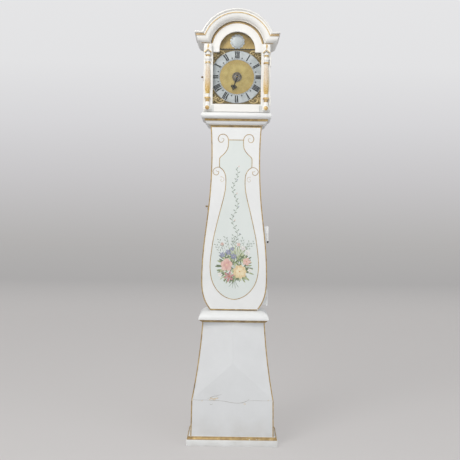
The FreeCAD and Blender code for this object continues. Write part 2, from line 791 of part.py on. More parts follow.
def fixed_half(x, y, foot, rise):
    pin = Part.makeCylinder(pin_radius, rise - mm.fit_gap, Vector(x, y, foot))
    return knuckle(x, y, foot, rise / 2, 0).fuse(pin)


def moving_half(x, y, foot, rise):
    return knuckle(x, y, foot + rise / 2 + mm.fit_gap, rise / 2 - mm.fit_gap, pin_radius + mm.fit_gap / 3)


def leaf(x, near, far, foot, rise):
    return Part.makeBox(mm.hinge_leaf, far - near, rise, Vector(x, near, foot))


hood_axis_y = door_front - mm.hood_hinge_out
hood_fixed, hood_moving = [], []
for foot in (mm.hood_hinge_low_level, mm.hood_hinge_high_level):
    half_rise = mm.hood_hinge_rise / 2
    plate = leaf(mm.hood_half, hood_axis_y, hood_frame_back + mm.hood_leaf_reach, foot, half_rise)
    hood_fixed.append(fixed_half(mm.hood_half, hood_axis_y, foot, mm.hood_hinge_rise).fuse(plate))
    upper = foot + half_rise + mm.fit_gap
    plate = leaf(mm.hood_half, hood_axis_y, door_back - mm.door_gap, upper, half_rise - mm.fit_gap)
    hollow = Part.makeCylinder(pin_radius + mm.fit_gap / 3, half_rise,
                               Vector(mm.hood_half, hood_axis_y, upper))
    hood_moving.append(moving_half(mm.hood_half, hood_axis_y, foot, mm.hood_hinge_rise).fuse(plate.cut(hollow)))
formed("hood_hinge_leaves", Part.makeCompound(hood_fixed))
formed("hood_door_leaves", Part.makeCompound(hood_moving))

# Trunk hinges: arms reach out from the curved edge to the straight hinge line
trunk_fixed, trunk_moving = [], []
for foot in (mm.trunk_hinge_low_level, mm.trunk_hinge_high_level):
    half_rise = mm.trunk_hinge_rise / 2
    y = trunk_door_back
    arm_length = mm.belly_half - mm.trunk_mid_half + mm.trunk_leaf_reach
    arm = Part.makeBox(arm_length, mm.hinge_leaf * 2, half_rise,
                       Vector(trunk_axis - arm_length, y + mm.fit_gap, foot))
    wing = Part.makeBox(arm_length, mm.trunk_leaf_reach, half_rise,
                        Vector(trunk_axis - arm_length - mm.knuckle_radius, y + mm.fit_gap, foot))
    shell = curved_panel(belly_points, -mm.hinge_leaf, -mm.back_face, mm.back_face)
    plate = arm.cut(case_block).fuse(wing.common(shell).cut(case_block))
    trunk_fixed.append(fixed_half(trunk_axis, y, foot, mm.trunk_hinge_rise).cut(case_block).fuse(plate))
    ball = Part.makeSphere(mm.hinge_ball_radius, Vector(trunk_axis, y, foot - mm.hinge_ball_radius / 2))
    trunk_fixed[-1] = trunk_fixed[-1].fuse(ball.cut(case_block))
    upper = foot + half_rise + mm.fit_gap
    arm = Part.makeBox(arm_length, mm.hinge_leaf * 2, half_rise - mm.fit_gap,
                       Vector(trunk_axis - arm_length, y - mm.hinge_leaf * 2, upper))
    hollow = Part.makeCylinder(pin_radius + mm.fit_gap / 3, half_rise, Vector(trunk_axis, y, upper))
    barrel = moving_half(trunk_axis, y, foot, mm.trunk_hinge_rise).cut(case_block)
    trunk_moving.append(barrel.fuse(arm.cut(case_block).cut(hollow)))
formed("trunk_hinge_leaves", Part.makeCompound(trunk_fixed))
formed("trunk_door_leaves", Part.makeCompound(trunk_moving))


hook_reach = mm.hook_arm - mm.hook_pin_radius * 2 - mm.hook_notch_gap


# Hook: hangs from a screw on the left side and lifts over a pin in the door's edge
def hook(name, wall, pivot_y, pivot_z):
    outer = -(wall + mm.fit_gap + mm.hook_thick)
    side = mm.hook_width / 2
    notch_half = mm.hook_pin_radius + mm.hook_notch_gap

    def at(forward, up):
        return Vector(outer, pivot_y - forward, pivot_z + up)

    corners = [at(side, 0), at(side, notch_half - hook_reach), at(-notch_half, notch_half - hook_reach),
               at(-notch_half, -notch_half - hook_reach), at(side, -notch_half - hook_reach),
               at(side, -mm.hook_arm), at(-side, -mm.hook_arm), at(-side, 0)]
    edges = Part.makePolygon(corners).Edges
    edges.append(Part.Arc(corners[-1], at(0, side), corners[0]).toShape())
    arm = Part.Face(Part.Wire(edges)).extrude(Vector(mm.hook_thick, 0, 0))

    neck = mm.hook_knob_radius / 2
    ball_out = -(outer - 1.2 * mm.hook_knob_radius) - wall
    sunk = Vector(outer + mm.hook_thick / 2, pivot_y, pivot_z)
    ball = Vector(-wall - ball_out, pivot_y, pivot_z)
    ring = mm.hook_knob_radius
    meet = (ring * ring - neck * neck) ** 0.5
    path = [Part.LineSegment(sunk, sunk + Vector(0, neck, 0)).toShape(),
            Part.LineSegment(sunk + Vector(0, neck, 0), ball + Vector(meet, neck, 0)).toShape(),
            Part.Arc(ball + Vector(meet, neck, 0), ball + Vector(0, ring, 0),
                     ball + Vector(-ring, 0, 0)).toShape(),
            Part.LineSegment(ball + Vector(-ring, 0, 0), sunk).toShape()]
    knob = Part.Face(Part.Wire(path)).revolve(sunk, Vector(1, 0, 0), full_turn)
    if knob.Volume < 0:
        knob.reverse()
    formed(name, arm.fuse(knob))


def outline_half(level):
    slice_box = Part.makeBox(4 * mm.belly_half, mm.fit_gap, mm.fit_gap,
                             Vector(-2 * mm.belly_half, 0, level - mm.fit_gap / 2))
    return case_block.common(slice_box).BoundBox.XMax


# The doors' pins and the hooks that reach them
trunk_hook_half = outline_half(mm.trunk_hook_level - mm.hook_arm)
trunk_pin_half = outline_half(mm.trunk_hook_level - 2 * mm.hook_pin_radius)
for name, hook_half, wall, rear, level in (
        ("trunk_hook", trunk_hook_half, trunk_pin_half, trunk_door_back, mm.trunk_hook_level),
        ("hood_hook", mm.hood_half, mm.hood_half, door_back, mm.hood_hook_level)):
    pivot_y = rear + mm.hook_pivot_back
    hook(name, hook_half, pivot_y, level)
    pin = Part.makeCylinder(mm.hook_pin_radius, mm.hook_thick * 2 + mm.fit_gap,
                            Vector(-wall, pivot_y - hook_reach, level), Vector(-1, 0, 0))
    edge_seat = Part.makeCylinder(mm.hook_pin_radius * 2, mm.fit_gap,
                                  Vector(-wall, pivot_y - hook_reach, level), Vector(-1, 0, 0))
    formed(f"{name}_pin", pin.fuse(edge_seat))

# Dial: square plate, arched plate above it, chapter ring, plaque and four corner castings
dial_front = -mm.dial_face
dial_back = dial_front + mm.dial_plate
dial_top = mm.dial_centre_level + mm.dial_half
dial = Part.makeBox(2 * mm.dial_half, mm.dial_plate, 2 * mm.dial_half,
                    Vector(-mm.dial_half, dial_front, mm.dial_centre_level - mm.dial_half))


def along_depth(radius, front, back, across=0.0, up=0.0):
    return Part.makeCylinder(radius, back - front, Vector(across, front, up), Vector(0, 1, 0))


plate_face = -mm.front_plate_face
seat_top = throat_top + mm.seat_board
plate_top = seat_top + mm.plate_rise
feet_spots = [(side * (mm.plate_half - mm.pillar_inset), level) for side in (-1, 1)
              for level in (mm.dial_centre_level - mm.plate_half, plate_top - 2 * mm.pillar_inset)]
for across, up in feet_spots:
    dial = dial.fuse(along_depth(mm.dial_foot_radius, dial_back, plate_face, across, up))
formed("dial_plate", dial.cut(along_depth(mm.pipe_radius + mm.hand_gap / 2, dial_front - mm.overrun,
                                          dial_back + mm.overrun, 0, mm.dial_centre_level)))
arch_disc = along_depth(mm.arch_plate_radius, dial_front, dial_back, 0, mm.opening_arch_centre_level)
above = Part.makeBox(4 * mm.dial_half, 4 * mm.dial_half, 2 * mm.dial_half,
                     Vector(-2 * mm.dial_half, -2 * mm.dial_half, dial_top))
formed("arch_plate", arch_disc.common(above))
ring_front = dial_front - mm.chapter_thick
ring = along_depth(mm.chapter_radius, ring_front, dial_front, 0, mm.dial_centre_level)
formed("chapter_ring", ring.cut(along_depth(mm.chapter_inner_radius, ring_front - mm.overrun,
                                            dial_front + mm.overrun, 0, mm.dial_centre_level)))

plaque = new_body("arch_plaque")
plaque_edge = ring_sketch(plaque, "plaque_edge", "XZ_Plane", cell.plaque_radius)
plaque_pad = plaque.newObject("PartDesign::Pad", "plaque_pad")
plaque_pad.Profile = plaque_edge
bind(plaque_pad, Length=cell.plaque_thick)
doc.recompute()
scallop_count = 16
scallop = ring_sketch(plaque, "plaque_scallop", "XZ_Plane", cell.plaque_radius / 12,
                      up=cell.plaque_radius + cell.plaque_radius / 24)
scallop_cut = plaque.newObject("PartDesign::Pocket", "plaque_scallop_cut")
scallop_cut.Profile = scallop
scallop_cut.Type = 1
scallop_cut.Midplane = True
scallops = plaque.newObject("PartDesign::PolarPattern", "plaque_scallops")
scallops.Originals = [scallop_cut]
scallops.Axis = (plaque_edge, ["N_Axis"])
scallops.Angle = full_turn
scallops.Occurrences = scallop_count
plaque.Tip = scallops
place(plaque, y=-cell.dial_face, z=cell.plaque_level)

# Corner castings: open scrolls that follow the ring
spandrels = []
corner = mm.dial_half - mm.spandrel_margin
ring_clear = mm.chapter_radius + mm.spandrel_margin
for across_side in (-1, 1):
    for up_side in (-1, 1):
        span = corner - mm.dial_half / 3
        casting = Part.makeBox(span, mm.spandrel_thick, span,
                               Vector(min(across_side * corner, across_side * (corner - span)),
                                      dial_front - mm.spandrel_thick,
                                      mm.dial_centre_level + min(up_side * corner, up_side * (corner - span))))
        casting = casting.cut(along_depth(ring_clear, dial_front - mm.overrun, dial_front + mm.overrun, 0,
                                          mm.dial_centre_level))
        for share_out, share_up, size_share in ((0.88, 0.88, 0.055), (0.93, 0.76, 0.035), (0.76, 0.93, 0.035)):
            casting = casting.cut(along_depth(mm.dial_half * size_share, dial_front - mm.overrun,
                                              dial_front + mm.overrun, across_side * corner * share_out,
                                              mm.dial_centre_level + up_side * corner * share_up))
        spandrels.append(max(casting.Solids, key=lambda solid: solid.Volume))
formed("spandrels", Part.makeCompound(spandrels))

# Seat board with slots for the line and the pendulum
seat = Part.makeBox(2 * mm.neck_half, board_front + mm.seat_front, mm.seat_board,
                    Vector(-mm.neck_half, -mm.seat_front, throat_top))
line_left = -mm.line_pulley_radius
line_right = line_left - 2 * mm.weight_pulley_radius
line_y = mm.weight_depth
slot_half = mm.bob_radius * 0.75
rod_slot = Part.makeBox(2 * slot_half, mm.bob_thick / 2, mm.seat_board,
                        Vector(-slot_half, mm.pendulum_back - mm.bob_thick / 4, throat_top))
seat = seat.cut(rod_slot)
line_hole = Part.makeCylinder(mm.line_radius * 3, mm.seat_board, Vector(line_left, line_y, throat_top))
tie_hole = Part.makeCylinder(mm.line_radius + mm.fit_gap / 3, mm.seat_board,
                             Vector(line_right, line_y, throat_top))
formed("seat_board", seat.cut(line_hole).cut(tie_hole))

# Movement plates, pillars, cock and bell
plate_level = seat_top
plate_back_face = plate_face + mm.plate_thick + mm.plate_space
great_level = mm.dial_centre_level - mm.motion_distance
great_teeth, pinion_leaves, second_teeth, escape_teeth = 90, 6, 72, 30
motion_leaves, hour_teeth = 18, 72
great_pitch = great_teeth * mm.great_module / 2
second_pitch = second_teeth * mm.second_module / 2
second_level = great_level + great_pitch + pinion_leaves * mm.great_module / 2
escape_level = second_level + second_pitch + pinion_leaves * mm.second_module / 2
anchor_level = escape_level + mm.anchor_rise
bore = mm.arbor_radius / 2
pivot_levels = (great_level, second_level, escape_level, anchor_level)
hand_front = dial_front - 2 * mm.alarm_disc_thick - mm.hand_gap / 2 - mm.hand_thick
stud = along_depth(mm.pipe_bore_radius - mm.fit_gap / 2, hand_front - mm.overrun / 2, plate_face, 0,
                   mm.dial_centre_level)
for name, front in (("front_plate", plate_face), ("back_plate", plate_back_face)):
    plate = Part.makeBox(2 * mm.plate_half, mm.plate_thick, mm.plate_rise,
                         Vector(-mm.plate_half, front, plate_level))
    for level in pivot_levels:
        plate = plate.cut(along_depth(bore + mm.fit_gap / 3, front - mm.overrun,
                                      front + mm.plate_thick + mm.overrun, 0, level))
    plate = plate.cut(along_depth(bore + mm.fit_gap / 3, front - mm.overrun,
                                  front + mm.plate_thick + mm.overrun, mm.hammer_place, mm.hammer_level))
    formed(name, plate.fuse(stud) if name == "front_plate" else plate)
pillars = []
for side in (-1, 1):
    for level in (plate_level + mm.pillar_lift, plate_top - mm.pillar_inset):
        pillars.append(along_depth(mm.pillar_radius, plate_face + mm.plate_thick, plate_back_face,
                                   side * (mm.plate_half - mm.pillar_inset), level))
formed("pillars", Part.makeCompound(pillars))

tooth_root_share, tooth_tip_share = 0.42, 0.18
leaf_root_share, leaf_tip_share = 0.3, 0.16
addendum_share, dedendum_share = 0.9, 1.25


# A toothed rim: trapezoid teeth by formula, the first tooth turned by `turn` radians
def toothed(teeth, module, root_share, tip_share, front, thick, level, turn=0.0):
    pitch_angle = 2 * math.pi / teeth
    root = teeth * module / 2 - dedendum_share * module
    tip = teeth * module / 2 + addendum_share * module
    points = []
    for tooth in range(teeth):
        middle = turn + tooth * pitch_angle
        for radius, share in ((root, -root_share), (tip, -tip_share), (tip, tip_share), (root, root_share)):
            angle = middle + share * pitch_angle / 2
            points.append(Vector(radius * math.sin(angle), front, level + radius * math.cos(angle)))
    return prism(points, Vector(0, thick, 0))


# Crossings between four spokes
def crossed(wheel, rim, hub, spoke, front, thick, level):
    window = along_depth(rim, front - mm.overrun, front + thick + mm.overrun, 0, level)
    window = window.cut(along_depth(hub, front - mm.overrun, front + thick + mm.overrun, 0, level))
    for turn in (0, quarter_turn):
        bar = Part.makeBox(2 * rim, thick + 3 * mm.overrun, spoke,
                           Vector(-rim, front - 1.5 * mm.overrun, level - spoke / 2))
        bar.rotate(Vector(0, 0, level), Vector(0, 1, 0), turn + quarter_turn / 2)
        window = window.cut(bar)
    return wheel.cut(window)


spoke_width = 2 * mm.arbor_radius
plate_rear = plate_face + mm.plate_thick
pivot_front = plate_face
pivot_rear = plate_back_face + mm.plate_thick


# Arbor between the plates with a thin pivot at each end
def arbor(level, across=0.0, front=None, rear=None, radius=mm.arbor_radius):
    shoulder_front, shoulder_rear = plate_rear + mm.fit_gap, plate_back_face - mm.fit_gap
    body = along_depth(radius, shoulder_front, shoulder_rear, across, level)
    pivot = along_depth(bore, pivot_front if front is None else front,
                        pivot_rear if rear is None else rear, across, level)
    return body.fuse(pivot)


# Great wheel with its grooved line pulley; its front end carries the motion pinion
great_front = plate_back_face - mm.plate_space / 5 - mm.wheel_thick
great_wheel = toothed(great_teeth, mm.great_module, tooth_root_share, tooth_tip_share, great_front,
                      mm.wheel_thick, great_level)
great_wheel = crossed(great_wheel, great_pitch - 4 * mm.great_module, mm.line_pulley_radius / 2,
                      spoke_width, great_front, mm.wheel_thick, great_level)
pulley_front = line_y - mm.line_pulley_width / 2
groove = mm.line_radius
pulley_section = [(0, pulley_front), (mm.line_pulley_radius + mm.line_pulley_flange, pulley_front),
                  (mm.line_pulley_radius + mm.line_pulley_flange, line_y - 2 * groove),
                  (mm.line_pulley_radius - groove, line_y - groove),
                  (mm.line_pulley_radius - groove, line_y + groove),
                  (mm.line_pulley_radius + mm.line_pulley_flange, line_y + 2 * groove),
                  (mm.line_pulley_radius + mm.line_pulley_flange, pulley_front + mm.line_pulley_width),
                  (0, pulley_front + mm.line_pulley_width)]
pulley = Part.Face(wire([Vector(out, deep, great_level) for out, deep in pulley_section]))
pulley = pulley.revolve(Vector(0, 0, great_level), Vector(0, 1, 0), full_turn)
motion_front = plate_face - mm.hand_gap - 2 * mm.wheel_thick
motion_pinion = toothed(motion_leaves, 2 * mm.motion_distance / (motion_leaves + hour_teeth),
                        tooth_root_share, tooth_tip_share, motion_front, 2 * mm.wheel_thick, great_level)
great_arbor = arbor(great_level, front=motion_front).fuse(motion_pinion)
great_hole = along_depth(mm.arbor_radius, -mm.back_face, mm.back_face, 0, great_level)
formed("great_wheel", great_wheel.fuse(pulley).cut(great_hole))
formed("great_arbor", great_arbor)

# Second wheel, escape wheel and their pinions
second_front = plate_rear + 2 * mm.wheel_thick
pinion_phase = math.pi / pinion_leaves
second_wheel = toothed(second_teeth, mm.second_module, tooth_root_share, tooth_tip_share, second_front,
                       mm.wheel_thick, second_level)
second_wheel = crossed(second_wheel, second_pitch - 4 * mm.second_module, mm.line_pulley_radius / 2,
                       spoke_width, second_front, mm.wheel_thick, second_level)
second_pinion = toothed(pinion_leaves, mm.great_module, leaf_root_share, leaf_tip_share,
                        great_front - mm.pinion_length / 3, mm.pinion_length, second_level, pinion_phase)
formed("second_wheel", second_wheel.multiFuse([arbor(second_level, radius=mm.pinion_arbor_radius),
                                               second_pinion]))

escape_front = line_y + mm.wheel_thick
escape_points = []
for tooth in range(escape_teeth):
    for share, radius in ((0.0, mm.escape_radius), (0.12, mm.escape_radius),
                          (0.62, 0.82 * mm.escape_radius), (0.85, 0.82 * mm.escape_radius)):
        angle = 2 * math.pi * (tooth + share) / escape_teeth
        escape_points.append(Vector(radius * math.sin(angle), escape_front,
                                    escape_level + radius * math.cos(angle)))
escape_wheel = prism(escape_points, Vector(0, mm.wheel_thick, 0))
escape_wheel = crossed(escape_wheel, 0.7 * mm.escape_radius, 2 * mm.arbor_radius, mm.arbor_radius,
                       escape_front, mm.wheel_thick, escape_level)
escape_pinion = toothed(pinion_leaves, mm.second_module, leaf_root_share, leaf_tip_share,
                        second_front - mm.wheel_thick, mm.pinion_length, escape_level, pinion_phase)
formed("escape_wheel", escape_wheel.multiFuse([arbor(escape_level, radius=mm.pinion_arbor_radius),
                                               escape_pinion]))

# Anchor with two pallets just clear of the escape wheel, and the crutch behind the plate
pallet_inner = mm.escape_radius + mm.pallet_gap
arm_width = 1.6 * mm.arbor_radius
anchor = along_depth(2 * mm.arbor_radius, escape_front, escape_front + mm.wheel_thick, 0, anchor_level)
for side in (-1, 1):
    reach = Vector(side * pallet_inner * 0.82, escape_front, escape_level + pallet_inner * 0.72)
    hub = Vector(0, escape_front, anchor_level)
    along = (reach - hub).normalize()
    across = Vector(along.z, 0, -along.x)
    arm = prism([hub + across * (arm_width / 2), reach + across * (arm_width / 2),
                 reach - across * (arm_width / 2), hub - across * (arm_width / 2)],
                Vector(0, mm.wheel_thick, 0))
    anchor = anchor.fuse(arm)
keep_clear = along_depth(pallet_inner, escape_front - mm.overrun, escape_front + 2 * mm.overrun, 0,
                         escape_level)
crutch_drop = mm.crutch_length
crutch_y = mm.pendulum_back - 2 * mm.rod_radius - mm.plate_thick
crutch_rear = crutch_y + mm.plate_thick / 2
formed("anchor", anchor.cut(keep_clear).fuse(arbor(anchor_level, rear=crutch_rear)).removeSplitter())
crutch = Part.makeBox(mm.arbor_radius * 2, mm.plate_thick / 2, crutch_drop,
                      Vector(-mm.arbor_radius, crutch_y, anchor_level - crutch_drop))
crutch = crutch.fuse(along_depth(2 * mm.arbor_radius, crutch_y, crutch_y + mm.plate_thick / 2, 0,
                                 anchor_level))
crutch = crutch.cut(along_depth(bore, crutch_y - mm.overrun, crutch_y + mm.overrun, 0, anchor_level))
for side in (-1, 1):
    fork = Part.makeBox(mm.arbor_radius / 2, mm.pendulum_back + mm.rod_radius - crutch_y, mm.arbor_radius,
                        Vector(side * (mm.rod_radius + mm.fit_gap + mm.arbor_radius / 4) - mm.arbor_radius / 4,
                               crutch_y, anchor_level - crutch_drop))
    crutch = crutch.fuse(fork)
formed("crutch", crutch)

# Pendulum on its cock: rod, turned bob and rating nut
hang_level = anchor_level
cock_foot = hang_level + mm.cock_lift
bob_level = hang_level - mm.pendulum_length
rod_foot = bob_level - mm.bob_radius - 2 * mm.nut_rise
rod = Part.makeCylinder(mm.rod_radius, cock_foot - mm.fit_gap - rod_foot,
                        Vector(0, mm.pendulum_back, rod_foot))
bob_hole = Part.makeCylinder(mm.rod_radius + mm.fit_gap / 3, 4 * mm.bob_radius,
                             Vector(0, mm.pendulum_back, bob_level - 2 * mm.bob_radius))
bob_section = [(0, -mm.bob_thick / 2), (0.45 * mm.bob_radius, -0.46 * mm.bob_thick),
               (0.8 * mm.bob_radius, -0.3 * mm.bob_thick), (mm.bob_radius, -0.06 * mm.bob_thick),
               (mm.bob_radius, 0.06 * mm.bob_thick), (0.8 * mm.bob_radius, 0.3 * mm.bob_thick),
               (0.45 * mm.bob_radius, 0.46 * mm.bob_thick), (0, mm.bob_thick / 2)]
bob = Part.Face(wire([Vector(out, mm.pendulum_back + deep, bob_level) for out, deep in bob_section]))
bob = bob.revolve(Vector(0, 0, bob_level), Vector(0, 1, 0), full_turn).cut(bob_hole)
formed("pendulum_rod", rod)
formed("pendulum_bob", bob)
nut = Part.makeCylinder(mm.nut_radius, mm.nut_rise,
                        Vector(0, mm.pendulum_back, bob_level - mm.bob_radius - mm.nut_rise - mm.fit_gap))
formed("rating_nut", nut.cut(bob_hole))
cock_back = mm.pendulum_back + mm.cock_thick
cock = Part.makeBox(mm.cock_width, cock_back - pivot_rear, mm.cock_thick,
                    Vector(-mm.cock_width / 2, pivot_rear, cock_foot))
foot_plate = Part.makeBox(mm.cock_width, mm.plate_thick, plate_top - cock_foot,
                          Vector(-mm.cock_width / 2, pivot_rear, cock_foot))
formed("pendulum_cock", cock.fuse(foot_plate))

# Hour wheel on its pipe, the single iron hand and the alarm-setting disc
hour_module = 2 * mm.motion_distance / (motion_leaves + hour_teeth)
hour_front = motion_front + mm.wheel_thick / 2
pipe_rear = hour_front + mm.wheel_thick
hour_wheel = toothed(hour_teeth, hour_module, tooth_root_share, tooth_tip_share, hour_front, mm.wheel_thick,
                     mm.dial_centre_level, math.pi / hour_teeth)
hour_rim = hour_teeth * hour_module / 2 - 4 * hour_module
hour_wheel = crossed(hour_wheel, hour_rim, 2 * mm.pipe_radius, spoke_width, hour_front, mm.wheel_thick,
                     mm.dial_centre_level)
pipe = along_depth(mm.pipe_radius, hand_front, pipe_rear, 0, mm.dial_centre_level)
pipe_bore = along_depth(mm.pipe_bore_radius, hand_front - mm.overrun, pipe_rear + mm.overrun, 0,
                        mm.dial_centre_level)
formed("hour_wheel", hour_wheel.fuse(pipe).cut(pipe_bore))

hand_turn = 196.4
hand_hub = 2.4 * mm.pipe_radius
hand_half = mm.hand_length / 26
tip_radius = mm.hand_length / 13
neck_reach = mm.hand_length - 3.4 * tip_radius
blade = [(-hand_half * 1.5, 0), (-hand_half, neck_reach), (hand_half, neck_reach), (hand_half * 1.5, 0)]
hand = prism([Vector(out, hand_front, mm.dial_centre_level + up) for out, up in blade],
             Vector(0, mm.hand_thick, 0))
petals = ((0, 0), (-0.85, 1.1), (0.85, 1.1))
for out_share, up_share in petals:
    hand = hand.fuse(along_depth(tip_radius, hand_front, hand_front + mm.hand_thick, out_share * tip_radius,
                                 mm.dial_centre_level + neck_reach + up_share * tip_radius))
point = [(-tip_radius / 2, neck_reach + tip_radius), (0, mm.hand_length),
         (tip_radius / 2, neck_reach + tip_radius)]
hand = hand.fuse(prism([Vector(out, hand_front, mm.dial_centre_level + up) for out, up in point],
                       Vector(0, mm.hand_thick, 0)))
hand = hand.fuse(along_depth(hand_hub, hand_front, hand_front + mm.hand_thick, 0, mm.dial_centre_level))
hand = hand.cut(along_depth(mm.pipe_radius, -mm.back_face, mm.back_face, 0, mm.dial_centre_level))
hand.rotate(Vector(0, 0, mm.dial_centre_level), Vector(0, 1, 0), hand_turn)
formed("hour_hand", hand.removeSplitter())
disc_front = dial_front - 1.5 * mm.alarm_disc_thick
alarm_disc = along_depth(mm.alarm_disc_radius, disc_front, disc_front + mm.alarm_disc_thick, 0,
                         mm.dial_centre_level)
formed("alarm_disc", alarm_disc.cut(along_depth(mm.pipe_radius + mm.fit_gap / 3, -mm.back_face, mm.back_face,
                                                0, mm.dial_centre_level)))

# Bell on its stand, and the hammer beside it
bell_y = plate_rear + mm.bell_radius + 2 * mm.plate_thick + mm.bell_wall
bell_outer = [(mm.bell_radius, 0), (0.86 * mm.bell_radius, 0.3 * mm.bell_rise),
              (0.68 * mm.bell_radius, 0.75 * mm.bell_rise), (0.35 * mm.bell_radius, mm.bell_rise),
              (mm.arbor_radius, mm.bell_rise)]
bell_inner = [(mm.arbor_radius, mm.bell_rise - mm.bell_wall),
              (0.35 * mm.bell_radius, mm.bell_rise - mm.bell_wall),
              (0.68 * mm.bell_radius - mm.bell_wall, 0.72 * mm.bell_rise - mm.bell_wall / 2),
              (0.86 * mm.bell_radius - mm.bell_wall, 0.3 * mm.bell_rise), (mm.bell_radius - mm.bell_wall, 0)]
bell = Part.Face(wire([Vector(out, 0, mm.bell_level + up) for out, up in bell_outer + bell_inner]))
bell = bell.revolve(Vector(0, 0, 0), Vector(0, 0, 1), full_turn)
bell.translate(Vector(0, bell_y, 0))
formed("bell", bell)
stand_top = mm.bell_level + mm.bell_rise + mm.plate_thick
stand_width = 4 * mm.arbor_radius
post_foot = plate_top - 2 * mm.pillar_inset
post = Part.makeBox(stand_width, mm.plate_thick, stand_top - post_foot,
                    Vector(-stand_width / 2, plate_rear, post_foot))
beam = Part.makeBox(stand_width, bell_y - plate_rear + stand_width / 2, mm.plate_thick,
                    Vector(-stand_width / 2, plate_rear, stand_top - mm.plate_thick))
screw = Part.makeCylinder(mm.arbor_radius - mm.fit_gap / 3, mm.bell_wall + mm.plate_thick,
                          Vector(0, bell_y, mm.bell_level + mm.bell_rise - mm.bell_wall))
formed("bell_stand", post.multiFuse([beam, screw]))
hammer = arbor(mm.hammer_level, mm.hammer_place)
hammer_top = mm.bell_level + 2 * mm.hammer_head_radius
stem = Part.makeCylinder(mm.arbor_radius * 0.7, hammer_top - mm.hammer_level,
                         Vector(mm.hammer_place, bell_y, mm.hammer_level))
head = along_depth(mm.hammer_head_radius, bell_y - mm.hammer_head_radius, bell_y + mm.hammer_head_radius,
                   mm.hammer_place, hammer_top)
formed("alarm_hammer", hammer.multiFuse([stem, head]))

# Weight with its stirrup, pulley and the line that carries it
weight_x = (line_left + line_right) / 2
weight_top = mm.weight_foot_level + mm.weight_rise
pulley_level = weight_top + mm.weight_pulley_lift
weight_section = [(0, 0), (0.8 * mm.weight_radius, 0), (mm.weight_radius, 0.06 * mm.weight_rise),
                  (mm.weight_radius, 0.92 * mm.weight_rise), (0.75 * mm.weight_radius, 0.98 * mm.weight_rise),
                  (0, mm.weight_rise)]
weight = Part.Face(wire([Vector(out, 0, mm.weight_foot_level + up) for out, up in weight_section]))
weight = weight.revolve(Vector(0, 0, 0), Vector(0, 0, 1), full_turn)
weight.translate(Vector(weight_x, line_y, 0))
strap_space = mm.weight_pulley_thick / 2 + mm.fit_gap
for side in (-1, 1):
    near = line_y + side * strap_space
    strap = Part.makeBox(stand_width, mm.plate_thick,
                         pulley_level + stand_width / 2 - weight_top + mm.line_radius,
                         Vector(weight_x - stand_width / 2, min(near, near + side * mm.plate_thick),
                                weight_top - mm.line_radius))
    weight = weight.fuse(strap)
pin = along_depth(bore, line_y - strap_space - mm.plate_thick, line_y + strap_space + mm.plate_thick,
                  weight_x,
                  pulley_level)
formed("weight", weight.fuse(pin))
rim = mm.weight_pulley_radius + mm.line_radius
half_thick = mm.weight_pulley_thick / 2
sheave_section = [(bore + mm.fit_gap / 3, -half_thick), (rim, -half_thick),
                  (rim, -2 * mm.line_radius), (mm.weight_pulley_radius - mm.line_radius, -1.2 * mm.line_radius),
                  (mm.weight_pulley_radius - mm.line_radius, 1.2 * mm.line_radius), (rim, 2 * mm.line_radius),
                  (rim, half_thick), (bore + mm.fit_gap / 3, half_thick)]
sheave = Part.Face(wire([Vector(out, line_y + deep, pulley_level) for out, deep in sheave_section]))
sheave = sheave.revolve(Vector(0, 0, pulley_level), Vector(0, 1, 0), full_turn)
sheave.translate(Vector(weight_x, 0, 0))
formed("weight_pulley", sheave)
line_parts = []
for x, top in ((line_left, great_level), (line_right, seat_top)):
    line_parts.append(Part.makeCylinder(mm.line_radius, top - pulley_level, Vector(x, line_y, pulley_level)))
knot = Part.makeSphere(2.5 * mm.line_radius, Vector(line_right, line_y, seat_top + 2.5 * mm.line_radius))
line_parts.append(knot)
formed("weight_line", Part.makeCompound(line_parts))

# Every feature has to be sound before anything is written
doc.recompute()
for item in doc.Objects:
    if {"Invalid", "Error"} & set(item.State):
        raise RuntimeError(f"{item.Label} failed")
os.makedirs("parts", exist_ok=True)
for item in pieces:
    shape = item.Shape
    if shape.isNull() or not shape.isValid() or not shape.Solids:
        raise RuntimeError(f"{item.Label} has no sound solid")
    shape.exportStep(f"parts/{item.Label}.step")
print(len(pieces), "pieces written")
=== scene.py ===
import math
import random
import bmesh
import bpy
from mathutils import Matrix, Vector


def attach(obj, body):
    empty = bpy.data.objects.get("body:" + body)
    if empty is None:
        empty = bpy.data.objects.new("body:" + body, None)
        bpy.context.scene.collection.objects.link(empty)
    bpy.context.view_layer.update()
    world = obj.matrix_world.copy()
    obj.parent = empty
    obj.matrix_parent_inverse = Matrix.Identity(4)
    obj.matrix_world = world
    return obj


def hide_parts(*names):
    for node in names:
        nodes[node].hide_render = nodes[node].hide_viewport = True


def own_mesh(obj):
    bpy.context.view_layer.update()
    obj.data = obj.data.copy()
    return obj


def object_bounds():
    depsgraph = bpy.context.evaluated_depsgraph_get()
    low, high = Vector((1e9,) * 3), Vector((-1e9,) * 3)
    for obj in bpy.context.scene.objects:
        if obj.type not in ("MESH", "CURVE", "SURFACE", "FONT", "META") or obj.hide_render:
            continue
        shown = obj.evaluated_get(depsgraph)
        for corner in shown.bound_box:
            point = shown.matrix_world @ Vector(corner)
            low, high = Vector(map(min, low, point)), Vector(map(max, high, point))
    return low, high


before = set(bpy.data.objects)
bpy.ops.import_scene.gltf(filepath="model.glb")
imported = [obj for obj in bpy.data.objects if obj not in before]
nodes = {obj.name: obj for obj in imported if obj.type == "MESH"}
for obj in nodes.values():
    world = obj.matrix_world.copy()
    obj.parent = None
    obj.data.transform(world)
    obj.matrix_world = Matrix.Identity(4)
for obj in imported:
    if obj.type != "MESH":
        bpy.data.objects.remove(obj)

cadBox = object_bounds()
mm = 0.001
dialLevel = 1829
print("frame loaded")


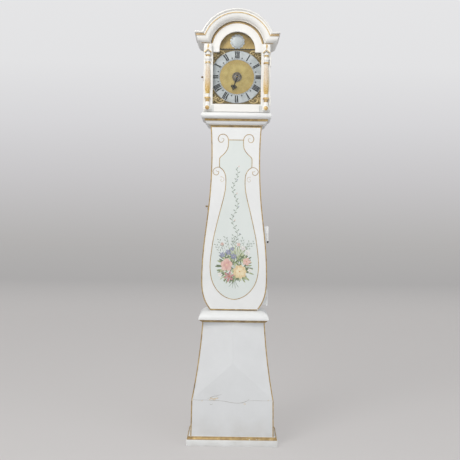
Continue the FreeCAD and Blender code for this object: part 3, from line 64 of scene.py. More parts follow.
# shader maths: a socket that can be added, multiplied and compared like a number
class Sock:
    def __init__(self, shop, out):
        self.shop, self.out = shop, out

    def __add__(self, other): return self.shop.maths("ADD", self, other)
    def __radd__(self, other): return self.shop.maths("ADD", other, self)
    def __sub__(self, other): return self.shop.maths("SUBTRACT", self, other)
    def __rsub__(self, other): return self.shop.maths("SUBTRACT", other, self)
    def __mul__(self, other): return self.shop.maths("MULTIPLY", self, other)
    def __rmul__(self, other): return self.shop.maths("MULTIPLY", other, self)
    def __pow__(self, other): return self.shop.maths("POWER", self, other)
    def above(self, other): return self.shop.maths("GREATER_THAN", self, other)
    def clamped(self): return self.shop.maths("ADD", self, 0.0, use_clamp=True)


class Finish:
    def __init__(self, name, base, roughness, metallic=0.0):
        self.material = bpy.data.materials.new(name)
        self.material.use_nodes = True
        self.tree = self.material.node_tree
        self.tree.nodes.clear()
        self.shader = self.tree.nodes.new("ShaderNodeBsdfPrincipled")
        self.output = self.tree.nodes.new("ShaderNodeOutputMaterial")
        self.tree.links.new(self.shader.outputs[0], self.output.inputs[0])
        self.set("Base Color", (*base, 1))
        self.set("Roughness", roughness)
        self.set("Metallic", metallic)
        self.spot = self.node("ShaderNodeTexCoord", {}, output="Object")

    def set(self, socket, value):
        target = self.shader.inputs[socket]
        if isinstance(value, Sock):
            self.tree.links.new(value.out, target)
        else:
            target.default_value = value

    def node(self, kind, values, output=0, **settings):
        made = self.tree.nodes.new(kind)
        for field, setting in settings.items():
            if field == "stops":
                for index, (place, colour) in enumerate(setting):
                    stops = made.color_ramp.elements
                    stop = stops[index] if index < len(stops) else stops.new(place)
                    stop.position = place
                    stop.color = (*colour, 1)
            else:
                setattr(made, field, setting)
        for socket, value in values.items():
            if isinstance(value, Sock):
                self.tree.links.new(value.out, made.inputs[socket])
            elif isinstance(value, tuple) and made.inputs[socket].type == "RGBA":
                made.inputs[socket].default_value = (*value, 1)
            else:
                made.inputs[socket].default_value = value
        return Sock(self, made.outputs[output])

    def maths(self, operation, *values, **settings):
        return self.node("ShaderNodeMath", dict(enumerate(values)), operation=operation, **settings)

    def noise(self, scale, detail=4.0, rough=0.55, at=None):
        values = {"Vector": at or self.spot, "Scale": scale, "Detail": detail, "Roughness": rough}
        return self.node("ShaderNodeTexNoise", values, output="Fac")

    def stretched(self, scale):
        return self.node("ShaderNodeMapping", {"Vector": self.spot, "Scale": scale})

    # position as three numbers
    def axes(self):
        split = self.node("ShaderNodeSeparateXYZ", {0: self.spot})
        return [Sock(self, split.out.node.outputs[index]) for index in range(3)]

    def band(self, value, low, high):
        values = {"Value": value, "From Min": low, "From Max": high}
        return self.node("ShaderNodeMapRange", values, output="Result")

    def mix(self, mask, first, second):
        return self.node("ShaderNodeMix", {0: mask, 6: first, 7: second}, output=2, data_type="RGBA")

    # colour and roughness that follow a band of a pattern
    def tint(self, pattern, low, high, light, dark):
        self.set("Base Color", self.mix(self.band(pattern, low, high), light, dark))

    def roughen(self, pattern, low, high, spread, least):
        self.set("Roughness", self.band(pattern, low, high) * spread + least)

    def bump(self, height, strength, distance):
        values = {"Height": height, "Strength": strength, "Distance": distance}
        self.set("Normal", self.node("ShaderNodeBump", values, output="Normal"))


# finishes: colours are linear, measured against the lit object
paints = {
    "white": (0.80, 0.805, 0.795), "whiteShade": (0.70, 0.71, 0.705), "darkening": (0.40, 0.35, 0.27),
    "undercoat": (0.62, 0.55, 0.44), "goldLight": (0.54, 0.38, 0.16), "goldDark": (0.30, 0.19, 0.07),
    "panel": (0.715, 0.75, 0.725), "panelShade": (0.635, 0.685, 0.655), "ringStain": (0.50, 0.34, 0.12),
    "ringShadow": (0.10, 0.07, 0.025), "reedGold": (0.80, 0.59, 0.20), "reedShade": (0.60, 0.38, 0.11),
}


def paintedWood(name, base, shade, wear=1.0, darkening=1.0):
    look = Finish(name, base, 0.48)
    mottle = look.noise(7.0, 6.0)
    brush = look.noise(1.0, 5.0, at=look.stretched((90.0, 90.0, 5.0)))
    colour = look.mix(look.band(mottle, 0.35, 0.7) * 0.55, base, shade)
    edges = look.node("ShaderNodeTexVoronoi", {"Vector": look.spot, "Scale": 38.0}, output="Distance",
                      feature="DISTANCE_TO_EDGE")
    crackle = (1.0 - look.band(edges, 0.0, 0.018)) * look.band(look.noise(3.1), 0.58, 0.72) * wear
    colour = look.mix(crackle * 0.22, colour, paints["darkening"])
    chips = look.noise(55.0, 3.0).above(0.735) * look.band(look.noise(2.3), 0.52, 0.66) * wear
    colour = look.mix(chips, colour, paints["undercoat"])
    # darker towards the floor: a mottled band over the bottom 16 cm
    darkerTowardsFloor = look.band(look.axes()[2], 0.16, 0.0) * look.band(look.noise(11.0), 0.35, 0.75) * darkening
    look.set("Base Color", look.mix(darkerTowardsFloor * 0.30, colour, paints["darkening"]))
    look.roughen(mottle, 0.2, 0.8, 0.16, 0.40)
    look.bump(brush * 0.5 + mottle * 0.3 - crackle * 0.6 - chips * 1.2, 0.35, 0.0008)
    return look.material


def gilding(name, light, dark):
    look = Finish(name, light, 0.42, 0.35)
    rub = look.noise(42.0, 6.0, 0.65)
    bare = look.noise(120.0, 4.0).above(0.66) * look.band(look.noise(9.0, 3.0), 0.5, 0.62)
    leaf = look.mix(look.band(rub, 0.38, 0.66), light, dark)
    look.set("Base Color", look.mix(bare, leaf, paints["white"]))
    look.set("Metallic", (1.0 - bare) * 0.3)
    look.roughen(rub, 0.3, 0.7, 0.25, 0.34)
    look.bump(rub, 0.3, 0.0004)
    return look.material


def oldBrass(name, light, dark, roughness=0.34):
    look = Finish(name, light, roughness, 0.85)
    stain = look.noise(14.0, 6.0, 0.6)
    fine = look.noise(90.0, 5.0)
    look.tint(stain, 0.38, 0.68, light, dark)
    look.roughen(fine, 0.3, 0.7, 0.22, roughness)
    look.set("Metallic", 1.0 - look.band(stain, 0.5, 0.8) * 0.35)
    look.bump(fine, 0.25, 0.0003)
    return look.material


# punched brass, darker towards the chapter ring, with painted shadow under the ring's outer edge
def matting(name, light, dark):
    look = Finish(name, light, 0.5, 0.55)
    across, depth, up = look.axes()
    up = up - dialLevel * mm
    radius = (across * across + up * up) ** 0.5
    punch = look.node("ShaderNodeTexVoronoi", {"Vector": look.spot, "Scale": 900.0}, output="Distance")
    colour = look.mix(look.band(look.noise(18.0, 6.0, 0.6), 0.36, 0.66), light, dark)
    colour = look.mix(look.band(radius, 0.066, 0.086) * 0.45, colour, paints["ringStain"])
    # painted shadow: a thin dark ring at the chapter ring's outer edge
    look.set("Base Color", look.mix(look.band(radius, 0.128, 0.132) * 0.8, colour, paints["ringShadow"]))
    look.roughen(punch, 0.1, 0.7, 0.2, 0.42)
    look.bump(punch, 0.5, 0.0003)
    return look.material


def silvering(name, light, dark):
    look = Finish(name, light, 0.42, 0.45)
    lay = look.noise(1.0, 4.0, at=look.stretched((60.0, 60.0, 300.0)))
    look.tint(look.noise(30.0, 6.0, 0.65), 0.42, 0.72, light, dark)
    look.roughen(lay, 0.3, 0.7, 0.15, 0.36)
    look.bump(lay, 0.15, 0.0002)
    return look.material


def blackIron(name, tone):
    look = Finish(name, tone, 0.42, 0.6)
    scale = look.noise(70.0, 5.0)
    look.tint(scale, 0.4, 0.7, tone, tuple(2.6 * part for part in tone))
    look.roughen(scale, 0.3, 0.7, 0.25, 0.32)
    look.bump(scale, 0.3, 0.0003)
    return look.material


def barePine(name, light, dark, plank=0.0):
    look = Finish(name, light, 0.62)
    grain = look.noise(1.0, 7.0, at=look.stretched((95.0, 95.0, 2.4)))
    waves = {"Vector": look.stretched((1.0, 1.0, 0.05)), "Scale": 13.0, "Distortion": 9.0, "Detail": 3.0}
    rings = look.node("ShaderNodeTexWave", waves, output="Fac", bands_direction="X")
    height = grain * 0.7 + rings * 0.3
    share = look.band(grain, 0.35, 0.7) * 0.6 + rings * 0.22 + look.noise(3.0, 3.0) * 0.2
    if plank:
        across = look.axes()[0] * (1 / plank) + 40.5
        seam = 1.0 - look.band(look.maths("PINGPONG", across, 0.5), 0.0, 0.009)
        share = share + look.maths("FRACT", look.maths("FLOOR", across) * 0.618) * 0.35 - 0.12 + seam * 2.0
        height = height - seam * 3.0
    look.set("Base Color", look.mix(share.clamped(), light, dark))
    look.roughen(grain, 0.2, 0.8, 0.15, 0.55)
    look.bump(height, 0.4, 0.0008)
    return look.material


# gold leaf between two heights, worn away upwards
def fadingGold(name, high, low):
    look = Finish(name, paints["white"], 0.42)
    rub = look.noise(160.0, 4.0)
    share = (look.band(look.axes()[2], high, low) + look.band(rub, 0.3, 0.7) * 0.35 - 0.17).clamped()
    gold = look.mix(look.band(rub, 0.38, 0.66), paints["reedGold"], paints["reedShade"])
    look.set("Base Color", look.mix(share, paints["white"], gold))
    look.set("Metallic", share * 0.25)
    look.roughen(rub, 0.3, 0.7, 0.2, 0.36)
    look.bump(rub, 0.2, 0.0003)
    return look.material


def flowerPaint(name, light, dark):
    look = Finish(name, light, 0.5)
    dab = look.noise(1.0, 4.0, at=look.stretched((160.0, 40.0, 70.0)))
    look.tint(dab, 0.35, 0.65, light, dark)
    look.bump(dab, 0.3, 0.0003)
    return look.material


def oldGlass(name):
    look = Finish(name, (0.30, 0.33, 0.32), 0.02)
    look.set("Alpha", 0.05)
    look.set("IOR", 1.45)
    look.bump(look.noise(9.0, 2.0), 0.12, 0.002)
    return look.material


def hempLine(name, light, dark):
    look = Finish(name, light, 0.8)
    waves = {"Vector": look.spot, "Scale": 160.0, "Distortion": 1.0}
    twist = look.node("ShaderNodeTexWave", waves, output="Fac", bands_direction="DIAGONAL")
    look.set("Base Color", look.mix(twist, light, dark))
    look.bump(twist, 0.6, 0.0006)
    return look.material


finishes = {
    "white": paintedWood("whitePaint", paints["white"], paints["whiteShade"]),
    # darker, greyer white for the base and plinth: painted shade of the lower case, where the light falls off
    "baseShadedWhite": paintedWood("baseShadedPaint", (0.725, 0.735, 0.74), (0.64, 0.65, 0.65), wear=1.3, darkening=1.3),
    # greyer paint for the hood door's rail strips: painted shadow of the column blocks
    "railShadowPaint": paintedWood("railPaintedShadow", (0.66, 0.67, 0.66), (0.58, 0.59, 0.57), wear=0.5),
    "hoodWhite": paintedWood("hoodPaint", (0.83, 0.82, 0.79), (0.75, 0.74, 0.70), wear=0.6),
    "panel": paintedWood("panelPaint", paints["panel"], paints["panelShade"], wear=0.5),
    "gold": gilding("goldLining", paints["goldLight"], paints["goldDark"]),
    "brightGold": gilding("columnGilding", (0.72, 0.53, 0.23), (0.48, 0.30, 0.11)),
    # darker, browner gilding for the band on the cornice ears: painted shade
    "bandGold": gilding("corniceShadedGilding", (0.52, 0.38, 0.21), (0.33, 0.23, 0.12)),
    "brass": oldBrass("oldBrass", (0.62, 0.46, 0.19), (0.30, 0.20, 0.07)),
    "castBrass": gilding("castBrass", (0.84, 0.67, 0.34), (0.50, 0.36, 0.14)),
    "matted": matting("mattedBrass", (0.55, 0.44, 0.17), (0.36, 0.27, 0.09)),
    "silver": silvering("silveredRing", (0.60, 0.64, 0.655), (0.42, 0.46, 0.46)),
    "iron": blackIron("blackIron", (0.018, 0.017, 0.018)),
    "ink": flowerPaint("dialInk", (0.022, 0.024, 0.028), (0.012, 0.013, 0.016)),
    "rust": oldBrass("hookMetal", (0.40, 0.30, 0.18), (0.17, 0.115, 0.07), 0.38),
    "steel": oldBrass("oldSteel", (0.42, 0.41, 0.40), (0.22, 0.20, 0.18), 0.3),
    "bronze": blackIron("bronzeDisc", (0.085, 0.070, 0.050)),
    "castIron": blackIron("castIronWeight", (0.10, 0.10, 0.105)),
    "pine": barePine("barePine", (0.50, 0.35, 0.19), (0.31, 0.19, 0.095)),
    "planks": barePine("backPlanks", (0.47, 0.34, 0.20), (0.27, 0.175, 0.09), plank=0.137),
    "flute": fadingGold("fluteGilding", 1.92, 1.85), "ridge": fadingGold("ridgeGilding", 1.825, 1.75),
    "crack": flowerPaint("oldCracks", (0.47, 0.455, 0.43), (0.31, 0.29, 0.265)),
    "bareWood": flowerPaint("bareWood", (0.74, 0.66, 0.53), (0.60, 0.50, 0.37)),
    "glass": oldGlass("windowGlass"),
    "hemp": hempLine("hempLine", (0.42, 0.35, 0.24), (0.22, 0.17, 0.11)),
}
petals = {
    "cream": ((0.78, 0.66, 0.42), (0.68, 0.50, 0.28)),
    "creamPale": ((0.82, 0.74, 0.54), (0.74, 0.60, 0.37)),
    "amber": ((0.66, 0.36, 0.14), (0.46, 0.22, 0.08)),
    "pink": ((0.76, 0.56, 0.49), (0.66, 0.41, 0.36)),
    "pinkDeep": ((0.72, 0.47, 0.41), (0.60, 0.33, 0.30)),
    "rose": ((0.62, 0.34, 0.34), (0.48, 0.22, 0.23)),
    "milk": ((0.82, 0.80, 0.76), (0.68, 0.66, 0.64)),
    "violet": ((0.34, 0.36, 0.47), (0.24, 0.25, 0.36)),
    "leafDark": ((0.21, 0.26, 0.15), (0.11, 0.15, 0.085)),
    "leafPale": ((0.38, 0.43, 0.24), (0.26, 0.32, 0.16)),
    "leafMist": ((0.56, 0.59, 0.36), (0.42, 0.47, 0.27)),
    "leafGrey": ((0.32, 0.37, 0.30), (0.19, 0.24, 0.19)),
}
for paint, tones in petals.items():
    finishes[paint] = flowerPaint(f"{paint}Paint", *tones)
# CAD nodes that stay; the others are replaced by pieces below
finishOfNodes = {
    "baseShadedWhite": "plinth_front plinth_left plinth_right base_front base_left base_right",
    "white": "trunk_left_side trunk_right_side trunk_door trunk_hinge_leaves trunk_door_leaves",
    "hoodWhite": "hood_front_frame hood_left_side hood_right_side hood_roof hood_door "
                 "hood_hinge_leaves hood_door_leaves",
    "planks": "backboard",
    "pine": "floor_board seat_board",
    "brass": "front_plate back_plate pillars pendulum_cock great_wheel second_wheel escape_wheel "
             "hour_wheel pendulum_bob rating_nut weight_pulley bell arch_plate",
    "matted": "dial_plate",
    "silver": "chapter_ring",
    "rust": "hood_hook trunk_hook hood_hook_pin trunk_hook_pin",
    "bronze": "alarm_disc",
    "steel": "anchor crutch great_arbor pendulum_rod alarm_hammer bell_stand",
    "castIron": "weight",
    "glass": "hood_glass",
}
for finish, members in finishOfNodes.items():
    for member in members.split():
        nodes[member].data.materials.clear()
        nodes[member].data.materials.append(finishes[finish])
print("finishes made")


# making pieces by hand: start, shape in edit mode, finish; places and sizes are in millimetres
lying = (math.pi / 2, 0, 0)


def startPiece(name, kind, place=(0, 0, 0), **settings):
    bpy.ops.object.select_all(action="DESELECT")
    add = getattr(bpy.ops.mesh, f"primitive_{kind}_add")
    add(location=[part * mm for part in place], **settings)
    piece = bpy.context.object
    piece.name = piece.data.name = name
    bpy.ops.object.transform_apply(location=True, rotation=True, scale=True)
    return piece


def ball(name, place, radius, segments, rings, scale=(1, 1, 1)):
    return startPiece(name, "uv_sphere", place, segments=segments, ring_count=rings, radius=radius * mm,
                      scale=scale)


def disc(name, place, radius, depth, vertices=48):
    return startPiece(name, "cylinder", place, vertices=vertices, radius=radius * mm, depth=depth * mm,
                      rotation=lying)


def wreath(name, place, radius, thick, segments, rotation=(0, 0, 0)):
    return startPiece(name, "torus", place, major_radius=radius * mm, minor_radius=thick * mm,
                      major_segments=segments, minor_segments=8, rotation=rotation)


def alone(*pieces):
    bpy.ops.object.select_all(action="DESELECT")
    for piece in pieces:
        piece.select_set(True)
    bpy.context.view_layer.objects.active = pieces[0]


def edit():
    bpy.ops.object.mode_set(mode="EDIT")


def done():
    bpy.ops.object.mode_set(mode="OBJECT")


def pick(piece, test, kind="faces"):
    bpy.ops.mesh.select_mode(type=kind[:-1].upper())
    bpy.ops.mesh.select_all(action="DESELECT")
    shape = bmesh.from_edit_mesh(piece.data)
    for item in getattr(shape, kind):
        item.select_set(bool(test(item)))
    bmesh.update_edit_mesh(piece.data)


def pickAll():
    bpy.ops.mesh.select_all(action="SELECT")


def push(x=0.0, y=0.0, z=0.0):
    bpy.ops.mesh.extrude_region_move(TRANSFORM_OT_translate={"value": (x * mm, y * mm, z * mm)})


def resize(x, y, z):
    bpy.ops.transform.resize(value=(x, y, z), center_override=(0, 0, 0))


def outward():
    pickAll()
    bpy.ops.mesh.remove_doubles(threshold=0.00001)
    bpy.ops.mesh.normals_make_consistent(inside=False)


def sawn(place, facing, away="outer", fill=True):
    pickAll()
    bpy.ops.mesh.bisect(plane_co=[part * mm for part in place], plane_no=facing, use_fill=fill,
                        clear_outer=away == "outer", clear_inner=away == "inner")


# a chain of points drawn by extruding one corner of a plane
def drawChain(name, points, closed=False):
    piece = startPiece(name, "plane", points[0], size=0.01)
    edit()
    bpy.ops.mesh.select_mode(type="VERT")
    pickAll()
    bpy.ops.mesh.merge(type="CENTER")
    spots = [Vector((x * mm, y * mm, z * mm)) for x, y, z in points]
    for first, second in zip(spots, spots[1:]):
        bpy.ops.mesh.extrude_vertices_move(TRANSFORM_OT_translate={"value": tuple(second - first)})
    pickAll()
    if closed:
        bpy.ops.mesh.edge_face_add()
    return piece


# a closed outline pushed to its length, then sawn
def planed(name, points, shift, cuts=()):
    piece = drawChain(name, points, closed=True)
    push(*shift)
    for place, facing, away in cuts:
        sawn(place, facing, away)
    outward()
    done()
    return piece


def bevelled(piece, width, angle=30, segments=2):
    alone(piece)
    modifier = piece.modifiers.new("bevel", "BEVEL")
    modifier.width, modifier.segments = width * mm, segments
    modifier.limit_method, modifier.angle_limit = "ANGLE", math.radians(angle)
    bpy.ops.object.modifier_apply(modifier=modifier.name)


def moved(x, y, z):
    return Matrix.Translation((x * mm, y * mm, z * mm))


def turned(angle):
    return Matrix.Rotation(angle, 4, "Y")


def copied(piece, places):
    made = []
    for place in places:
        twin = piece.copy()
        twin.data = piece.data.copy()
        bpy.context.scene.collection.objects.link(twin)
        twin.data.transform(place)
        made.append(twin)
    return made


def joined(pieces, name):
    alone(*pieces)
    bpy.ops.object.join()
    pieces[0].name = pieces[0].data.name = name
    return pieces[0]


def finished(piece, finish, body, replaced=(), smooth=32):
    alone(piece)
    bpy.ops.object.transform_apply(location=True, rotation=True, scale=True)
    if smooth:
        bpy.ops.object.shade_smooth_by_angle(angle=math.radians(smooth))
    piece.data.materials.clear()
    piece.data.materials.append(finishes[finish])
    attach(piece, body)
    if replaced:
        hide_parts(*replaced)
    return piece


# a smooth way through given points
def smoothWay(points, steps=6):
    last = len(points) - 1
    way = []
    for index in range(last):
        a, b, c, d = [Vector(points[min(max(index + shift, 0), last)]) for shift in (-1, 0, 1, 2)]
        for step in range(steps):
            t = step / steps
            way.append(0.5 * (2 * b + (c - a) * t + (2 * a - 5 * b + 4 * c - d) * t * t
                              + (3 * b - a - 3 * c + d) * t ** 3))
    return way + [Vector(points[-1])]


def flatWay(points, steps):
    return [(v.x, v.y) for v in smoothWay([(x, z, 0) for x, z in points], steps)]


# a round wire through (x, y, z, radius)
def wired(name, spots, thick, resolution, closed=False):
    data = bpy.data.curves.new(name, "CURVE")
    data.dimensions = "3D"
    data.bevel_depth, data.bevel_resolution = thick * mm, resolution
    data.use_fill_caps = True
    spline = data.splines.new("POLY")
    spline.points.add(len(spots) - 1)
    for point, (x, y, z, radius) in zip(spline.points, spots):
        point.co, point.radius = (x * mm, y * mm, z * mm, 1), radius
    spline.use_cyclic_u = closed
    wire = bpy.data.objects.new(name, data)
    bpy.context.scene.collection.objects.link(wire)
    alone(wire)
    bpy.ops.object.convert(target="MESH")
    return bpy.context.object


# a line of paint or gilding: points are (x, z, half width) on a face that looks forward
def paintLine(name, points, y, rise, closed=False):
    stroke = wired(name, [(x, 0, z, half) for x, z, half in points], 1, 1, closed)
    widest = max(abs(corner.co.y) for corner in stroke.data.vertices)
    edit()
    pickAll()
    resize(1, rise * mm / widest, 1)
    bpy.ops.transform.translate(value=(0, y * mm, 0))
    outward()
    done()
    return stroke


# gilded lines along the edges of a painted board, cut from the front of a copy of it
edging = {"width": 5.4, "rise": 0.25, "facing": 0.8}


def edgeLine(source, keep):
    board = nodes[source]
    trim = copied(board, [board.matrix_world])[0]
    trim.name = trim.data.name = f"{source}_gilding"
    trim.modifiers.clear()
    trim.parent = None
    trim.matrix_world = Matrix.Identity(4)
    alone(trim)
    edit()
    pickAll()
    bpy.ops.mesh.remove_doubles(threshold=0.00002)
    pick(trim, lambda face: -face.normal.y <= edging["facing"])
    bpy.ops.mesh.delete(type="FACE")
    pickAll()
    bpy.ops.mesh.dissolve_limited(angle_limit=math.radians(0.6))
    bpy.ops.mesh.select_mode(type="FACE")
    pickAll()
    bpy.ops.mesh.inset(thickness=edging["width"] * mm, use_even_offset=True, use_boundary=True)
    bpy.ops.mesh.delete(type="FACE")
    pick(trim, lambda face: not keep(face.calc_center_median() / mm))
    bpy.ops.mesh.delete(type="FACE")
    pickAll()
    push(y=-edging["rise"])
    outward()
    done()
    return trim


for source, body, keep in (
        ("base_front", "case", lambda c: 229 < c.z < 601 and abs(c.x) > 120),
        ("plinth_front", "case", lambda c: 50 < c.z < 219 and abs(c.x) > 150),
        ("trunk_door", "trunk_door", lambda c: True)):
    finished(edgeLine(source, keep), "gold", body, smooth=0)
print("edges gilded")


# gilding laid on the faces that a test picks
def gild(piece, test, finish="gold"):
    slotNumber = len(piece.data.materials)
    piece.data.materials.append(finishes[finish])
    for face in piece.data.polygons:
        if face.normal.y < 0.7 and test(face.center / mm, face.normal):
            face.material_index = slotNumber


def within(value, bands):
    return any(low < value < high for low, high in bands)


# gilded bands of height on faces of one slope, beyond the wall at the sides or in front
def gildBands(piece, bands, slope, side, front, finish="gold"):
    gild(piece, lambda c, n: within(c.z, bands) and within(n.z, [slope]) and (abs(c.x) > side or c.y < front),
         finish)


# mouldings planed as long runs and mitred, which saws off the spare: sections are (out, up)
spare = 12


def hollowTo(start, end, steps=7):
    turns = [step / steps * math.pi / 2 for step in range(1, steps + 1)]
    return [(start[0] + (end[0] - start[0]) * math.sin(turn),
             start[1] + (end[1] - start[1]) * (1 - math.cos(turn))) for turn in turns]


def roundOver(x, z, wide, high, turns):
    return [(x + wide * math.cos(turn), z + high * math.sin(turn)) for turn in turns]


mouldings = {
    "foot": {"half": 206, "front": -109, "back": 128, "foot": 0, "wall": -12, "sideWall": 0,
             "section": [(19, 0), (19, 31), *hollowTo((19, 31), (8.5, 46))],
             "gilded": (((31.2, 45.8),), (-0.95, 0.98), 208, -112)},
    "shoulder": {"half": 156, "front": -88, "back": 110, "foot": 605, "wall": -58, "sideWall": -58,
                 "section": [(0, 0), (15, 12), (18, 12.5), (18, 18),
                             *roundOver(-33, 18, 51, 37, [math.pi / 24 * step for step in range(1, 13)])],
                 "gilded": (((0, 617.3),), (-0.95, 0.3), 150, -86)},
    "throat": {"half": 128, "front": -52, "back": 128, "foot": 1583, "wall": -12, "sideWall": 0,
               "section": [(7, 0), (7, 4), *hollowTo((7, 4), (24, 22)), (29, 22), (29, 33),
                           *roundOver(31.5, 49, 16, 16, [math.pi / 12 * step for step in range(-6, 7)])],
               "gilded": (((0, 1587.1), (1605.2, 1615.8)), (-0.5, 0.5), 134, -58)},
}


def mitredMoulding(name, run):
    half, front, foot = run["half"], run["front"], run["foot"]
    section = [*run["section"], (run["wall"], run["section"][-1][1]), (run["wall"], 0)]
    reach = max(out for out, up in section) + spare
    corners = [((side * half, front, 0), (side, 1, 0)) for side in (-1, 1)]
    parts = [planed("frontRun", [(-half - reach, front - out, foot + up) for out, up in section],
                    (2 * (half + reach), 0, 0), [(*corner, "outer") for corner in corners])]
    for side, corner in zip((-1, 1), corners):
        outline = [(side * (half + max(out, run["sideWall"])), front - reach, foot + up)
                   for out, up in section]
        parts.append(planed("sideRun", outline, (0, run["back"] - front + reach, 0), [(*corner, "inner")]))
    moulding = joined(parts, name)
    bevelled(moulding, 0.6, 50)
    return moulding


for name, run in mouldings.items():
    moulding = mitredMoulding(f"{name}Moulding", run)
    finished(moulding, "white", "case", [f"{name}_moulding"])
    gildBands(moulding, *run["gilded"])
print("mouldings run")


# cornice: the same section level over the ears and turned over the arch
cornice = {"half": 166, "front": -82, "back": 128, "foot": 1987, "high": 55, "inner": -19, "spare": 60,
           "centre": 1965.5, "radius": 135, "steps": 72, "doorRadius": 128, "doorTurn": 79, "doorLine": 3.9,
           "gilded": (((0, 1991.2), (2020.3, 2031.8)), (-0.6, 0.6), 176, -92),
           "soffit": (135.4, -86), "archBand": (168, 172.2, -118)}
corniceSection = [(0, 0), (11, 0), (11, 4), *hollowTo((11, 4), (36, 33)), (39, 33), (39, 37.2), (39, 45),
                  (41.5, 45), (44.5, 47), (46, 50), (45, 53.5), (42, 55), (0, 55)]


def mitreX(up):
    return math.sqrt((cornice["radius"] + up) ** 2 - (cornice["foot"] + up - cornice["centre"]) ** 2)


def addCornice():
    half, front, foot, centre = [cornice[part] for part in ("half", "front", "foot", "centre")]
    over = cornice["spare"]
    low, high = mitreX(0), mitreX(cornice["high"])
    slope = Vector((high - low, 0, cornice["high"])).normalized()
    across = Vector((slope.z, 0, -slope.x))          # points to the right of the mitre line
    section = [(cornice["inner"], cornice["high"]), (cornice["inner"], 0)] + corniceSection[:-1]
    ears, mitres = [], []
    for side in (-1, 1):
        mitre = (side * low, 0, foot), (side * across.x, 0, across.z)
        corner = (side * half, front, 0), (side, 1, 0)
        mitres.append(mitre)
        ears.append(planed("earRun", [(0, front - out, foot + up) for out, up in section],
                           (side * (half + over), 0, 0), [(*mitre, "inner"), (*corner, "outer")]))
        ears.append(planed("earReturn", [(side * (half + out), front - over, foot + up)
                                         for out, up in corniceSection],
                           (0, cornice["back"] - front + over, 0), [(*corner, "inner")]))
    ears = joined(ears, "corniceEars")
    bevelled(ears, 0.6, 50)
    finished(ears, "hoodWhite", "hood", ["cornice_ears"])
    # the ears' band takes the darker gilding as painted shade
    gildBands(ears, *cornice["gilded"], "bandGold")

    arch = drawChain("corniceArch", [(-cornice["radius"] - up, front - out, centre) for out, up in section],
                     closed=True)
    bpy.ops.mesh.spin(steps=cornice["steps"], angle=-math.pi, center=(0, 0, centre * mm), axis=(0, 1, 0))
    outward()
    for mitre in mitres:
        sawn(*mitre)
    outward()
    done()
    finished(arch, "hoodWhite", "hood", ["cornice_arch"])

    def archGold(c, n):
        radius = math.hypot(c.x, c.z - centre)
        reach, edge = cornice["soffit"]
        low, high, bandEdge = cornice["archBand"]
        return radius < reach and c.y < edge or low < radius < high and c.y < bandEdge
    # the front of the arch soffit faces down into shade and takes the brighter gilding: painted light
    gild(arch, archGold, "brightGold")
    reach, most = cornice["doorRadius"], cornice["doorTurn"]
    turns = [math.radians(-most + 2 * most * step / 60) for step in range(61)]
    rim = [(reach * math.sin(turn), centre + reach * math.cos(turn), cornice["doorLine"]) for turn in turns]
    finished(paintLine("doorArchGilding", rim, front, 1.2), "gold", "hood_door")


addCornice()
print("cornice turned")


# columns: turned outline, reeded shaft, square block and gilt boss
column = {"place": 145, "y": -84, "back": -81.8, "steps": 64, "reeds": 16, "groove": 0.84, "core": 4,
          "shaft": (1741, 1884), "chevron": 2.3, "rings": ((1712, 1722.6), (1889.2, 1895), (1925.3, 1932)),
          "collar": (1699.5, 1711.8), "blockHalf": 18, "blockHigh": 24, "blockMiddle": 1972, "boss": 1668,
          "bossTop": 1680, "fluteHalf": 1.1}
blockLeaf = [(0, 1984, 1.5), (1.5, 1976, 5.5), (0.5, 1968, 4.5), (0, 1961, 1.2)]
columnOutline = [(0, 1658), (18, 1658), (18, 1666), (17.4, 1669), (15.8, 1672), (13.6, 1681),
                 (11.8, 1690), (10.4, 1699), (10.1, 1704), (10.2, 1711.6), (13.6, 1712.2),
                 (14.4, 1715.5), (14.4, 1719.2), (13.4, 1722), (9.2, 1723), (8.6, 1731), (8.4, 1737.5),
                 (8.6, 1739), (10.0, 1745), (11.6, 1755), (12.8, 1766), (13.5, 1779), (13.5, 1792),
                 (13.3, 1804), (12.8, 1822), (12.2, 1838), (11.6, 1853), (10.6, 1867), (9.4, 1879),
                 (8.4, 1886), (8.4, 1889), (12.8, 1889.6), (13.4, 1892.5), (13.0, 1897), (9.6, 1899.2),
                 (11.4, 1903), (14.4, 1908), (15.4, 1912), (14.6, 1916), (11.8, 1919), (8.0, 1920.5),
                 (7.8, 1925), (11.0, 1925.6), (11.4, 1929), (10.8, 1931.6), (14.6, 1932.6), (15.2, 1936),
                 (14.8, 1941), (10.4, 1942.6), (8.6, 1947), (8.0, 1953), (8.0, 1960), (0, 1960)]
gable = [(-18, 1960), (18, 1960), (18, 1943), (13, 1943), (0, 1954), (-13, 1943), (-18, 1943)]
chevron = [(-17.5, 1941), (-12, 1946), (0, 1957), (12, 1946), (17.5, 1941)]


